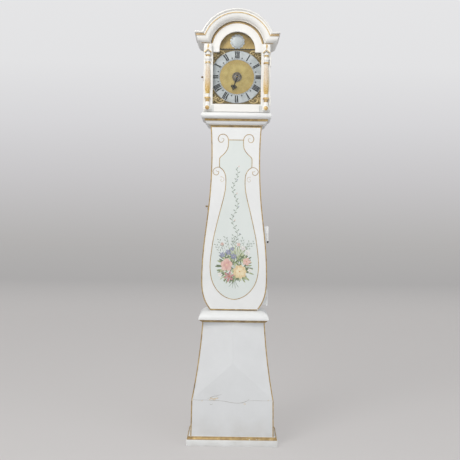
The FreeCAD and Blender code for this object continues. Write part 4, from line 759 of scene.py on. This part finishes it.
def addColumns():
    stride = column["steps"] // column["reeds"]

    def reedPlace(x, y):
        return math.atan2(y, x) / (2 * math.pi) * column["steps"]

    def onShaft(height):
        return column["shaft"][0] < height < column["shaft"][1]

    turning = drawChain("columnTurning", [(radius, 0, z) for radius, z in columnOutline])
    bpy.ops.mesh.spin(steps=column["steps"], angle=2 * math.pi, center=(0, 0, 0), axis=(0, 0, 1))
    outward()
    pick(turning, lambda spot: onShaft(spot.co.z / mm) and spot.co.xy.length > column["core"] * mm
         and round(reedPlace(spot.co.x, spot.co.y)) % stride == 0, "verts")
    resize(column["groove"], column["groove"], 1)
    done()
    face, wide = -column["blockHalf"], 2 * column["blockHalf"]
    block = startPiece("columnBlock", "cube", (0, 0, column["blockMiddle"]), size=wide * mm,
                       scale=(1, 1, column["blockHigh"] / wide))
    bevelled(block, 0.9)
    wedge = planed("blockGable", [(x, face, z) for x, z in gable], (0, 19, 0))
    boss = ball("columnBoss", (0, -17.5, column["boss"]), 8.6, 24, 12, scale=(1, 0.55, 1))
    collar = wreath("bossCollar", (0, -17.6, column["boss"]), 9.2, 1.5, 32, lying)
    whole = joined([turning, block, wedge, boss, collar], "turnedColumn")
    for side, name in ((-1, "left_column"), (1, "right_column")):
        x0, y0 = side * column["place"], column["y"]
        twin = copied(whole, [moved(x0, y0, 0)])[0]
        alone(twin)
        edit()
        sawn((0, column["back"], 0), (0, 1, 0), fill=False)
        done()
        twin.name = twin.data.name = name.replace("_c", "C")
        finished(twin, "hoodWhite", "hood_door", [name], smooth=40)

        def radius(c):
            return math.hypot(c.x - x0, c.y - y0)

        def fromGroove(c):
            return abs((reedPlace(c.x - x0, c.y - y0) + stride / 2) % stride - stride / 2)

        def onRing(c, n):
            if within(c.z, column["rings"]):
                return radius(c) > 9
            return c.z < column["bossTop"] and c.y < y0 - 17.2

        gild(twin, onRing, "brightGold")
        gild(twin, lambda c, n: onShaft(c.z) and fromGroove(c) < column["fluteHalf"], "flute")
        gild(twin, lambda c, n: onShaft(c.z) and fromGroove(c) >= column["fluteHalf"], "ridge")
        gild(twin, lambda c, n: within(c.z, [column["collar"]]) and radius(c) < 12)
        trim = [paintLine(f"{twin.name}Chevron", [(x0 + x, z, column["chevron"]) for x, z in chevron],
                          y0 + face, 0.8),
                paintLine("blockLeaf", [(x0 + x, z, half) for x, z, half in blockLeaf], y0 + face, 0.7)]
        finished(joined(trim, f"{twin.name}Chevron"), "brightGold", "hood_door")
    bpy.data.objects.remove(whole)


addColumns()
print("columns turned")


# dial: painted numerals, quarter ring, florets, engraved lines
dial = {"centre": dialLevel, "face": -51, "inner": 92.5, "height": 35, "thick": 5.8, "thin": 2.5,
        "ink": 0.25, "gap": 0.4, "serif": (3.1, 1.1), "floret": 97, "marks": (87.6, 91)}
plaque = {"centre": 2006, "radius": 37, "dip": 4.4, "lobes": 12, "steps": 132, "back": -49, "rise": 3}
numerals = ("I", "II", "III", "IIII", "V", "VI", "VII", "VIII", "IX", "X", "XI", "XII")
letterWidth = {"I": 6.4, "V": 11.5, "X": 11.5}


def ringPoints(x, z, radius, half, count=20):
    return [(x + radius * math.sin(turn), z + radius * math.cos(turn), half)
            for turn in [2 * math.pi / count * step for step in range(count)]]


def strokeMatrix(low, high, width):
    run = Vector((high[0] - low[0], 0, high[1] - low[1]))
    turn = math.atan2(run.x, run.z)
    middle = Vector(((low[0] + high[0]) / 2, 0, (low[1] + high[1]) / 2))
    return moved(*middle) @ turned(turn) @ Matrix.Diagonal((width, 1, run.length, 1))


def letterStrokes(letter, left, low, high):
    wide = letterWidth[letter]
    thick, thin, half = dial["thick"], dial["thin"], dial["thick"] / 2
    middle, right = left + wide / 2, left + wide
    if letter == "I":
        lines = [((middle, low), (middle, high), thick)]
        serifs = [(middle, low), (middle, high)]
    elif letter == "V":
        lines = [((middle, low), (left + half, high), thick), ((middle, low), (right - 1, high), thin)]
        serifs = [(left + half, high), (right - 1.5, high)]
    else:
        lines = [((right - half, low), (left + half, high), thick),
                 ((left + 1, low), (right - 1, high), thin)]
        serifs = [(left + 1.5, low), (right - half, low), (left + half, high), (right - 1.5, high)]
    reach, half = dial["serif"]
    lines += [((x - reach, z), (x + reach, z), half) for x, z in serifs]
    return lines


def dialTurn(hour):
    return moved(0, dial["face"], dial["centre"]) @ turned(math.radians(30 * hour))


def addDialInk():
    stroke = startPiece("inkStroke", "cube", size=mm, scale=(1, dial["ink"] * 2, 1))
    edit()
    bpy.ops.mesh.subdivide(number_cuts=2)
    done()
    places = []
    low, high = dial["inner"] + 1, dial["inner"] + dial["height"]
    for hour, word in enumerate(numerals, start=1):
        left = -(sum(letterWidth[letter] for letter in word) + dial["gap"] * (len(word) - 1)) / 2
        for letter in word:
            for start, end, thick in letterStrokes(letter, left, low, high):
                places.append(dialTurn(hour) @ strokeMatrix(start, end, thick))
            left += letterWidth[letter] + dial["gap"]
        for turn in (0, 45, 90, 135):          # half-hour florets
            size = 6.0 if turn % 90 else 8.4
            places.append(dialTurn(hour + 0.5) @ moved(0, 0, dial["floret"]) @ turned(math.radians(turn))
                          @ Matrix.Diagonal((1.9, 1, size, 1)))
        for quarter in range(4):
            inner, outer = dial["marks"]
            mark = strokeMatrix((0, inner), (0, outer), 0.8 if quarter else 1.5)
            places.append(dialTurn(hour + quarter / 4) @ mark)
    ink = joined(copied(stroke, places), "chapterNumerals")
    bpy.data.objects.remove(stroke)
    finished(ink, "ink", "case", smooth=0)
    for radius, half in ((87.4, 0.35), (91.2, 0.35), (130.2, 0.4)):
        inkRing(f"chapterLine{round(radius)}", dial["centre"], radius, half, 120, dial["face"], 0.22)


def inkRing(name, centre, radius, half, count, y, rise):
    ring = paintLine(name, ringPoints(0, centre, radius, half, count), y, rise, closed=True)
    finished(ring, "ink", "case")


def addArchTrim():
    seam = [(-95, 1967.2, 3.2), (0, 1967.6, 2.6), (95, 1967.2, 3.2)]
    trim = [paintLine("archSeam", seam, plaque["back"], 0.5)]
    for number in range(-6, 7):
        dot = ringPoints(number * 13.6, 1971.5, 0.7, 0.8, 8)
        trim.append(paintLine("seamDot", dot, plaque["back"], 0.4, closed=True))
    finished(joined(trim, "archSeam"), "iron", "case")
    rim = []
    for step in range(plaque["steps"]):
        turn = 2 * math.pi / plaque["steps"] * step
        reach = plaque["radius"] - plaque["dip"] * (1 - abs(math.sin(plaque["lobes"] / 2 * turn)))
        rim.append((reach * math.sin(turn), plaque["back"], plaque["centre"] + reach * math.cos(turn)))
    plate = planed("namePlate", rim, (0, -plaque["rise"], 0))
    bevelled(plate, 0.6, 60)
    finished(plate, "silver", "case", ["arch_plaque"])
    face = plaque["back"] - plaque["rise"]
    for number, (radius, half) in enumerate(((29.2, 0.45), (26.8, 0.25))):
        inkRing(f"plaqueLine{number}", plaque["centre"], radius, half, 72, face, 0.18)


# corner castings: scrolls and beads on one corner, then the other three; places are from the dial's centre
casting = {"plate": -49.2, "rise": 2.2}
cornerScrolls = [
    [(118, 62, 1.6), (126, 70, 2.4), (130, 84, 2.8), (126, 98, 3.0), (114, 104, 2.8), (105, 99, 2.2),
     (106, 92, 1.7), (112, 91, 1.3), (113, 95, 1.0)],
    [(106, 106, 3.2), (118, 118, 3.6), (130, 130, 1.4)],
    [(109, 110, 2.0), (122, 116, 2.8), (133, 117, 1.2)],
    [(131, 66, 1.0), (134, 90, 1.3), (134, 134, 1.3)],
    [(118, 62, 1.6), (112, 70, 1.8), (117, 78, 2.0), (123, 76, 1.2)],
    [(121, 88, 1.4), (117, 82, 1.8), (111, 84, 1.0)],
    [(127, 104, 1.2), (121, 106, 2.0), (116, 112, 1.0)],
]
cornerBeads = [(113, 113, 3.4), (101, 110, 2.2), (110, 101, 2.2), (124, 124, 2.4), (128, 110, 1.8),
               (110, 128, 1.8), (115, 66, 2.2), (66, 115, 2.2)]


def addSpandrels():
    parts = []
    for flip in (False, True):
        for number, scroll in enumerate(cornerScrolls):
            if flip and number == 1:             # the middle scroll is its own mirror image
                continue
            way = smoothWay([(z, x, half) if flip else (x, z, half) for x, z, half in scroll], steps=7)
            parts.append(paintLine("scroll", [(v.x, v.y, max(0.5, v.z)) for v in way], casting["plate"],
                                   casting["rise"]))
    parts += [ball("bead", (x, casting["plate"], z), size, 16, 8, scale=(1, 0.8, 1))
              for x, z, size in cornerBeads]
    single = joined(parts, "cornerCasting")
    twins = []
    for across, up in ((1, 1), (1, -1), (-1, 1), (-1, -1)):
        place = moved(0, 0, dial["centre"]) @ Matrix.Diagonal((across, 1, up, 1))
        twins += copied(single, [place])
        if across * up < 0:
            twins[-1].data.flip_normals()
    bpy.data.objects.remove(single)
    finished(joined(twins, "cornerCastings"), "castBrass", "case", ["spandrels"], smooth=50)


# hour hand with its pierced trefoil, and the engraved alarm disc
hand = {"turn": 196.4, "middle": -55.6, "half": 1.1, "lobe": 2.1, "bossFront": -57, "pipeMiddle": -53.5}
handLines = [[(0, -10, 2.6), (0, 0, 4.0), (0, 12, 3.4), (0, 26, 2.6), (0, 37, 2.2), (0, 46, 2.8)],
             [(-3, 52, 2.2), (0, 55, 2.6), (3, 52, 2.2)], [(0, 62, 2.6), (0, 67, 1.6), (0, 73, 0.5)],
             [(0, 44, 2.4), (0, 54, 2.2)]]
handLines += [[(14 * side, 53, 1.9), (11.5 * side, 46.5, 1.6), (4 * side, 44.5, 1.6), (0, 46, 2)]
              for side in (-1, 1)]
alarmDisc = {"face": -52, "collet": -52.3, "marks": (16.5, 21),
             "rings": ((22.6, 0.35), (14.5, 0.4), (9.8, 0.9))}


def turnedToHour(piece, degrees=0.0):
    piece.data.transform(moved(0, 0, dial["centre"]) @ turned(math.radians(degrees)))
    piece.data.update()
    return piece


def addHand():
    parts = [paintLine("handLine", points, hand["middle"], hand["half"]) for points in handLines]
    for x, z, radius in ((-8.6, 51, 4.6), (8.6, 51, 4.6), (0, 59, 4.4)):
        parts.append(paintLine("handLobe", ringPoints(x, z, radius, hand["lobe"]), hand["middle"],
                               hand["half"], closed=True))
    hub = disc("handHub", (0, hand["middle"], 0), 7.2, 2.4)
    bevelled(hub, 0.5)
    boss = ball("handBoss", (0, hand["bossFront"], 0), 4, 32, 16, scale=(1, 0.5, 1))
    pipe = disc("handPipe", (0, hand["pipeMiddle"], 0), 4.9, 6, vertices=32)
    whole = turnedToHour(joined([*parts, hub, boss, pipe], "trefoilHand"), hand["turn"])
    finished(whole, "iron", "hour_wheel", ["hour_hand"], smooth=40)


def addAlarmDisc():
    parts = [paintLine("discLine", ringPoints(0, 0, radius, half, 72), alarmDisc["face"], 0.3, closed=True)
             for radius, half in alarmDisc["rings"]]
    for hour in range(12):
        turn = math.radians(30 * hour)
        points = [(radius * math.sin(turn), radius * math.cos(turn), 0.4) for radius in alarmDisc["marks"]]
        parts.append(paintLine("discMark", points, alarmDisc["face"], 0.25))
    finished(turnedToHour(joined(parts, "alarmDiscMarks")), "steel", "alarm_disc")
    collet = disc("alarmCollet", (0, alarmDisc["collet"], dial["centre"]), 9.4, 1)
    bevelled(collet, 0.4)
    finished(collet, "steel", "alarm_disc")


addDialInk()
addArchTrim()
addSpandrels()
addHand()
addAlarmDisc()
print("dial dressed")


# trunk door: pale panel in a gold scroll outline, with a painted spray of flowers
door = {"face": -55, "ground": 0.25, "line": 2.1, "rise": 0.7}
panelTop = [(38, 1513), (38, 1492), (42, 1468), (57, 1445), (75, 1428), (81, 1419)]
panelSide = [(81, 1376), (65, 1364), (52, 1341), (48, 1312), (50, 1267), (60, 1215), (74, 1160), (91, 1089),
             (106, 1020), (115, 957), (120, 911), (121, 870), (115, 825), (100, 784), (74, 750), (42, 727),
             (0, 716)]
upperScroll = [(72, 1518), (65, 1521), (61, 1513), (68, 1502), (82, 1503), (89, 1519), (80, 1537),
               (60, 1541), (44, 1530)]
lowerScroll = [(97, 1361), (92, 1354), (86, 1355), (85, 1345), (94, 1337), (107, 1341), (113, 1357),
               (101, 1372), (82, 1376), (65, 1364)]
tendril = [(75, 1328), (63, 1326), (58, 1313), (67, 1303), (75, 1310), (70, 1318)]


def addPanel():
    belly = panelSide + [(-x, z) for x, z in reversed(panelSide[:-1])]
    top, below = flatWay(panelTop, 5), flatWay(belly, 5)
    rim = top + below + [(-x, z) for x, z in reversed(top)]
    ground = planed("panelGround", [(x, door["face"], z) for x, z in rim], (0, -door["ground"], 0))
    finished(ground, "panel", "trunk_door", smooth=0)
    half = door["line"]
    ways = [([(-38, 1513), (38, 1513)], [half] * 2), (below, [half] * len(below))]
    for flip in (1, -1):
        for points, start, end in ((upperScroll + panelTop, 0.6, half),
                                   ([(81, 1419), (81.4, 1400), (81, 1376)], half, half),
                                   (lowerScroll, 0.6, half * 0.8), (tendril, 1.2, 0.6)):
            way = flatWay([(x * flip, z) for x, z in points], 6)
            last = len(way) - 1
            ways.append((way, [start + (end - start) * min(1.0, 3 * index / last)
                               for index in range(last + 1)]))
    lines = [paintLine("panelLine", [(x, z, wide) for (x, z), wide in zip(way, widths)], door["face"],
                       door["rise"]) for way, widths in ways]
    finished(joined(lines, "panelGilding"), "gold", "trunk_door")


# flowers: every petal and leaf is a copy of one pointed oval
spray = {"thick": 0.8, "seed": 41, "leaves": 72, "greens": 84, "blades": 9, "sprig": 7, "climber": 34}
sprigs = [(-52, 960, -0.45), (-34, 966, -0.2), (-12, 974, 0.1), (22, 962, 0.35), (42, 950, 0.55),
          (58, 955, 0.65), (-62, 938, -0.55), (4, 958, 0.0)]
stemTips = [(-60, 1000), (-36, 1018), (-14, 1025), (22, 1012), (48, 1004), (68, 1000), (-66, 985),
            (6, 1010)]
stemFeet = [(-26, 780), (-9, 774.4), (7, 771.2), (22, 777.6)]
blossoms = [                      # x, z, petals, length, width, lift, turn, paint, heart
    (28, 855, 9, 36, 24, 0.9, 10, "cream", "amber"), (28, 855, 7, 24, 16, 1.3, 30, "creamPale", "amber"),
    (-39, 888, 5, 33, 31, 0.6, 0, "pink", "cream"), (-39, 888, 5, 20, 19, 1.0, 36, "pinkDeep", "cream"),
    (-26, 830, 6, 27, 12, 1.1, 12, "rose", "amber"), (61, 905, 5, 21, 18, 0.7, 20, "pink", "amber"),
    (66, 950, 5, 15, 12, 0.7, 5, "milk", "violet"), (43, 972, 5, 14, 11, 0.7, 40, "milk", "violet"),
    (-70, 838, 5, 13, 10, 0.7, 15, "milk", "amber"), (77, 862, 5, 12, 9, 0.7, 50, "milk", "amber"),
    (-4, 931, 6, 17, 10, 0.7, 0, "violet", "cream"), (-31, 951, 6, 16, 10, 0.7, 25, "violet", "cream"),
    (-61, 938, 6, 15, 9, 0.7, 10, "violet", "milk"), (-12, 968, 5, 11, 8, 0.7, 15, "violet", "milk"),
    (20, 990, 4, 10, 8, 0.7, 45, "pink", "rose"), (-62, 992, 4, 9, 7, 0.7, 0, "pink", "rose"),
]


def petalPlace(x, z, turn, length, width, lift, start=0.0):
    return (moved(x, door["face"] - door["ground"] - lift, z) @ turned(turn) @ moved(0, 0, start)
            @ Matrix.Diagonal((width * mm, spray["thick"] * mm, length * mm, 1)))


def sprayPlaces():
    draw = random.Random(spray["seed"]).uniform
    places = {}

    def put(paint, *place, **more):
        places.setdefault(paint, []).append(petalPlace(*place, **more))

    for x, z, petals, length, width, lift, turn, paint, heart in blossoms:
        for number in range(petals):
            angle = math.radians(turn) + 2 * math.pi * number / petals
            put(paint, x, z, angle, length * draw(0.92, 1.05), width, lift)
        put(heart, x, z - length * 0.13, 0, length * 0.26, length * 0.26, lift + 0.5)
    greens = ("leafDark", "leafPale", "leafDark", "leafMist")
    for number in range(spray["leaves"]):        # leaves behind the flowers, fanned from the middle
        angle = 2 * math.pi * number / spray["leaves"] + draw(-0.06, 0.06)
        reach = 30 + 24 * abs(math.sin(angle)) + draw(-10, 12)
        put(greens[number % 4], 0, 876, angle + draw(-0.1, 0.1),
            draw(28, 44), draw(6, 9), 0.2, start=reach)
    for number in range(spray["greens"]):        # greens between the flowers
        x, z = draw(-58, 58), draw(820, 940)
        put(greens[number % 4], x, z, draw(0, 6.28), draw(20, 32),
            draw(6, 9), 0.35)
    for number in range(spray["blades"]):        # long blades that stand above
        put("leafMist" if number % 2 else "leafPale", 2 + 2.5 * number, 925, -0.55 + 0.15 * number,
            draw(55, 72), 5.5, 0.45)
    for x, z, turn in sprigs:
        for number in range(spray["sprig"]):     # upright sprigs
            side = 1 if number % 2 else -1
            run = 10 + 8 * number
            put("leafGrey", x + run * math.sin(turn), z + run * math.cos(turn), turn + side * 0.75,
                draw(10, 15), 3.8, 0.2)
    for number in range(spray["climber"]):       # climber that winds up the neck
        z = 1000 + 11.2 * number
        sway = 15 * math.sin(number * 0.46) * (1 - 0.3 * number / spray["climber"])
        side = 1 if number % 2 else -1
        put("leafGrey", sway, z, side * draw(0.6, 1.1),
            draw(14, 21) * (1 - 0.35 * number / spray["climber"]), 4.8, 0.2)
        if number % 6 == 3:
            put("violet" if number % 12 == 3 else "pink", sway + side * 8, z + 8, side * 0.7, 8, 5, 0.4)
    return places


def addFlowers():
    petal = ball("petal", (0, 0, 0.5 / mm), 0.5 / mm, 8, 5)
    edit()
    pick(petal, lambda corner: corner.co.z < 0.4, "verts")
    resize(0.6, 1, 1)
    done()
    stems = []

    def stem(way, half, rise):
        stems.append(paintLine("stem", [(x, z, half) for x, z in way], door["face"] - door["ground"], rise))

    for x, z in stemTips:
        stem(flatWay([(x * 0.1, 850), (x * 0.6, z - 70), (x, z)], 6), 0.8, 0.3)
    stem([(15 * math.sin((z - 1000) / 11.2 * 0.46) * (1 - 0.3 * (z - 1000) / 381), z)
          for z in range(985, 1380, 9)], 0.6, 0.3)
    for x, foot in stemFeet:
        stem(flatWay([(0, 838), (x * 0.4, 800), (x, foot)], 5), 1.1, 0.4)
    finished(joined(stems, "sprayStems"), "leafGrey", "trunk_door")
    for paint, places in sprayPlaces().items():
        group = joined(copied(petal, places), f"spray{paint[0].upper()}{paint[1:]}")
        finished(group, paint, "trunk_door", smooth=60)
    bpy.data.objects.remove(petal)


addPanel()
addFlowers()
print("door painted")


# rail strips in greyer paint beside the raised panel of the hood door: painted shadow that the column blocks
# cast on the rail
rail = {"x": 119.6, "y": -82, "z": 1667, "size": (14.4, 0.5, 31)}


def addRailShadows():
    strips = []
    for side in (-1, 1):
        strips.append(startPiece("railShadowStrip", "cube", (side * rail["x"], rail["y"], rail["z"]), size=mm,
                                 scale=rail["size"]))
        bevelled(strips[-1], 0.2, segments=1)
    finished(joined(strips, "railShadowStrips"), "railShadowPaint", "hood_door")


# dark iron button under the upper hinge of the trunk door
hingeButton = {"place": (166.3, -37, 1005.8), "radius": 4.9, "belly": 0.8, "tip": 1.8}


def addHingeButton():
    button = ball("hingeButtons", hingeButton["place"], hingeButton["radius"], 20, 12)
    lowest = hingeButton["place"][2] - hingeButton["radius"] * hingeButton["belly"]
    edit()
    pick(button, lambda corner: corner.co.z < lowest * mm, "verts")
    bpy.ops.transform.translate(value=(0, 0, -hingeButton["tip"] * mm))
    done()
    finished(button, "iron", "case")


# cracks and chips where the base meets the plinth, and small knocks along the edges
cracks = [
    [(-196, 224.5, 0.5), (-168, 222.5, 0.9), (-128, 223.5, 0.7), (-96, 222, 1.3), (-62, 221, 0.8),
     (-30, 217, 1.1), (-4, 212, 1.0), (28, 210, 1.2), (52, 213, 1.5), (70, 221, 1.1), (84, 231, 0.4)],
    [(70, 221, 0.4), (110, 224, 0.7), (152, 223, 0.6), (198, 224, 0.4)],
    [(-124, 229, 0.3), (-104, 238, 1.1), (-84, 243, 0.9), (-66, 236, 0.4)],
    [(-92, 250, 0.3), (-74, 247, 0.9), (-52, 252, 0.3)],
    [(-112, 205, 0.4), (-104, 201, 1.0), (-97, 206, 0.3)],
]
chips = [(-104, 232, 9, 5), (-90, 229, 12, 6), (-77, 233, 8, 4), (-111, 225, 5, 3), (61, 206, 7, 3),
         (178, 226, 4, 2), (-150, 219, 4, 2), (-199, 223, 5, 6), (199, 221, 4, 6)]
wear = {"face": -109, "crack": 0.35, "chip": 0.25, "seed": 7, "corners": 11}


def addWear():
    ways = [[(v.x, v.y, max(0.3, v.z)) for v in smoothWay(points, steps=5)] for points in cracks]
    lines = [paintLine("crack", way, wear["face"], wear["crack"]) for way in ways]
    finished(joined(lines, "plinthCracks"), "crack", "case")
    draw = random.Random(wear["seed"]).uniform
    flakes = []
    for x, z, wide, high in chips:
        rim = []
        for step in range(wear["corners"]):
            turn = 2 * math.pi * step / wear["corners"]
            reach = draw(0.65, 1.1)
            rim.append((x + wide * reach * math.cos(turn), wear["face"], z + high * reach * math.sin(turn)))
        flakes.append(planed("chip", rim, (0, -wear["chip"], 0)))
    finished(joined(flakes, "plinthChips"), "bareWood", "case", smooth=0)


# laid line of two strands: one piece above the seat board, one that hangs from the seat board down to the
# weight's pulley
cord = {"left": -22, "right": -62, "y": 4, "seat": 1648, "pulley": 915, "great": 1779.5, "tie": 1671,
        "knot": 1670, "strand": 0.85, "offset": 0.65, "lay": 11.0, "steps": 7, "keep": 0.0723}


def laidLine(name, x, low, high):
    strands = []
    count = round((high - low) / cord["lay"] * cord["steps"])
    for phase in (0.0, math.pi):
        spots = []
        for index in range(count + 1):
            turn = phase + 2 * math.pi * index / cord["steps"]
            spots.append((x + cord["offset"] * math.cos(turn), cord["y"] + cord["offset"] * math.sin(turn),
                          low + (high - low) * index / count, 1))
        strands.append(wired(name, spots, cord["strand"], 0))
        edit()
        outward()
        done()
    return joined(strands, name)


def addLine():
    hung = joined([laidLine("hangingLine", cord[side], cord["pulley"], cord["seat"])
                   for side in ("left", "right")], "hangingLine")
    finished(hung, "hemp", "case", ["weight_line"], smooth=60)
    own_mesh(hung)
    knot = wreath("lineKnot", (cord["right"], cord["y"], cord["knot"]), 2.0, 1.5, 16)
    tied = joined([laidLine("tiedLine", cord["left"], cord["seat"], cord["great"]),
                   laidLine("tiedLine", cord["right"], cord["seat"], cord["tie"]), knot], "tiedLine")
    finished(tied, "hemp", "case", ["weight_line"], smooth=60)


addRailShadows()
addHingeButton()
addWear()
addLine()
print("rail, wear and line added")

# floor, backdrop, lamps and camera, in metres
# the wall stops set the backdrop's painted light and shade by height
studio = {"floor": (0.64, 0.63, 0.63), "size": 14.0, "middle": 0.8, "wallHigh": 12.0, "frontRun": 18.0,
          "curve": 3.2, "widened": 4.0, "toneTop": 5.1, "dimBelow": 0.75, "world": 0.62,
          "sky": (0.97, 0.98, 1.0, 1),
          "wall": [(0.0, (0.60, 0.575, 0.56)), (0.06, (0.42, 0.41, 0.405)), (0.153, (0.46, 0.45, 0.445)),
                   (0.32, (0.575, 0.565, 0.575)), (0.488, (0.68, 0.675, 0.69)),
                   (0.657, (0.765, 0.765, 0.775)), (1.0, (0.80, 0.80, 0.81))]}
lamps = [("keyLamp", (-1.6, -2.5, 3.5), (0, 0, 1.7), 1.9, 78.0, (1.0, 0.985, 0.96)),
         ("fillLamp", (2.6, -2.8, 1.7), (0, 0, 1.0), 2.6, 26.0, (0.96, 0.98, 1.0))]
camera = {"distance": 3.992, "height": 1.138, "focalPixels": 813.0, "frame": 460.0, "sensor": 36.0,
          "horizonRow": 215.0, "middleColumn": 235.0, "roll": 0.8}


# paper that glows with its own tones to the camera, in glass and in gloss, and is lit like a floor otherwise;
# the tones are painted light and shade that change with height up the wall
def stageFinish():
    look = Finish("studioPaper", studio["floor"], 0.7)
    height = look.axes()[2]
    tones = look.node("ShaderNodeValToRGB", {0: look.band(height, 0.0, studio["toneTop"])},
                      stops=studio["wall"])
    glow = look.node("ShaderNodeBsdfPrincipled", {"Base Color": (0, 0, 0), "Specular IOR Level": 0,
                                                  "Emission Color": tones, "Emission Strength": 1})
    direct, glossy, through = [look.node("ShaderNodeLightPath", {}, output=f"Is {kind} Ray")
                               for kind in ("Camera", "Glossy", "Transmission")]
    dimmed = look.band(height, 0.0, studio["dimBelow"]) * 0.45 + 0.55
    share = (direct + glossy + through).clamped() * dimmed
    lit = Sock(look, look.shader.outputs[0])
    blend = look.node("ShaderNodeMixShader", {0: share, 1: lit, 2: glow})
    look.tree.links.new(blend.out, look.output.inputs[0])
    return look.material


def addStage():
    sweep = startPiece("studioSweep", "plane", (0, studio["middle"] / mm, 0), size=studio["size"])
    edit()
    pick(sweep, lambda edge: all(corner.co.y > 7 for corner in edge.verts), "edges")
    push(z=studio["wallHigh"] / mm)
    pick(sweep, lambda edge: all(corner.co.y < -6 for corner in edge.verts), "edges")
    push(y=-studio["frontRun"] / mm)
    pick(sweep, lambda edge: all(corner.co.y > 7 and corner.co.z < 0.1 for corner in edge.verts), "edges")
    bpy.ops.mesh.bevel(offset=studio["curve"], segments=20)
    pickAll()
    resize(studio["widened"], 1, 1)
    done()
    bpy.ops.object.shade_smooth()
    sweep.data.materials.append(stageFinish())


def addLamp(name, place, aim, size, power, tone):
    bpy.ops.object.light_add(type="AREA", location=place)
    lamp = bpy.context.object
    lamp.name = name
    lamp.data.shape = "DISK"
    lamp.data.size = size
    lamp.data.energy = power
    lamp.data.color = tone
    lamp.rotation_euler = (Vector(aim) - Vector(place)).to_track_quat("-Z", "Y").to_euler()


def addCamera():
    data = bpy.data.cameras.new("camera")
    data.sensor_width = camera["sensor"]
    data.lens = camera["focalPixels"] / camera["frame"] * camera["sensor"]
    half = camera["frame"] / 2
    data.shift_y = (camera["horizonRow"] - half) / camera["frame"]
    data.shift_x = (half - camera["middleColumn"]) / camera["frame"]
    item = bpy.data.objects.new("camera", data)
    bpy.context.scene.collection.objects.link(item)
    item.location = (0, cadBox[0][1] - camera["distance"], camera["height"])
    item.rotation_euler = (math.pi / 2, -math.radians(camera["roll"]), 0)
    bpy.context.scene.camera = item


def addWorld():
    world = bpy.data.worlds.new("studioWorld")
    bpy.context.scene.world = world
    world.use_nodes = True
    background = world.node_tree.nodes["Background"]
    background.inputs[0].default_value = studio["sky"]
    background.inputs[1].default_value = studio["world"]


addStage()
for lamp in lamps:
    addLamp(*lamp)
addWorld()
addCamera()
bpy.context.scene.view_settings.view_transform = "Standard"
print("stage set")
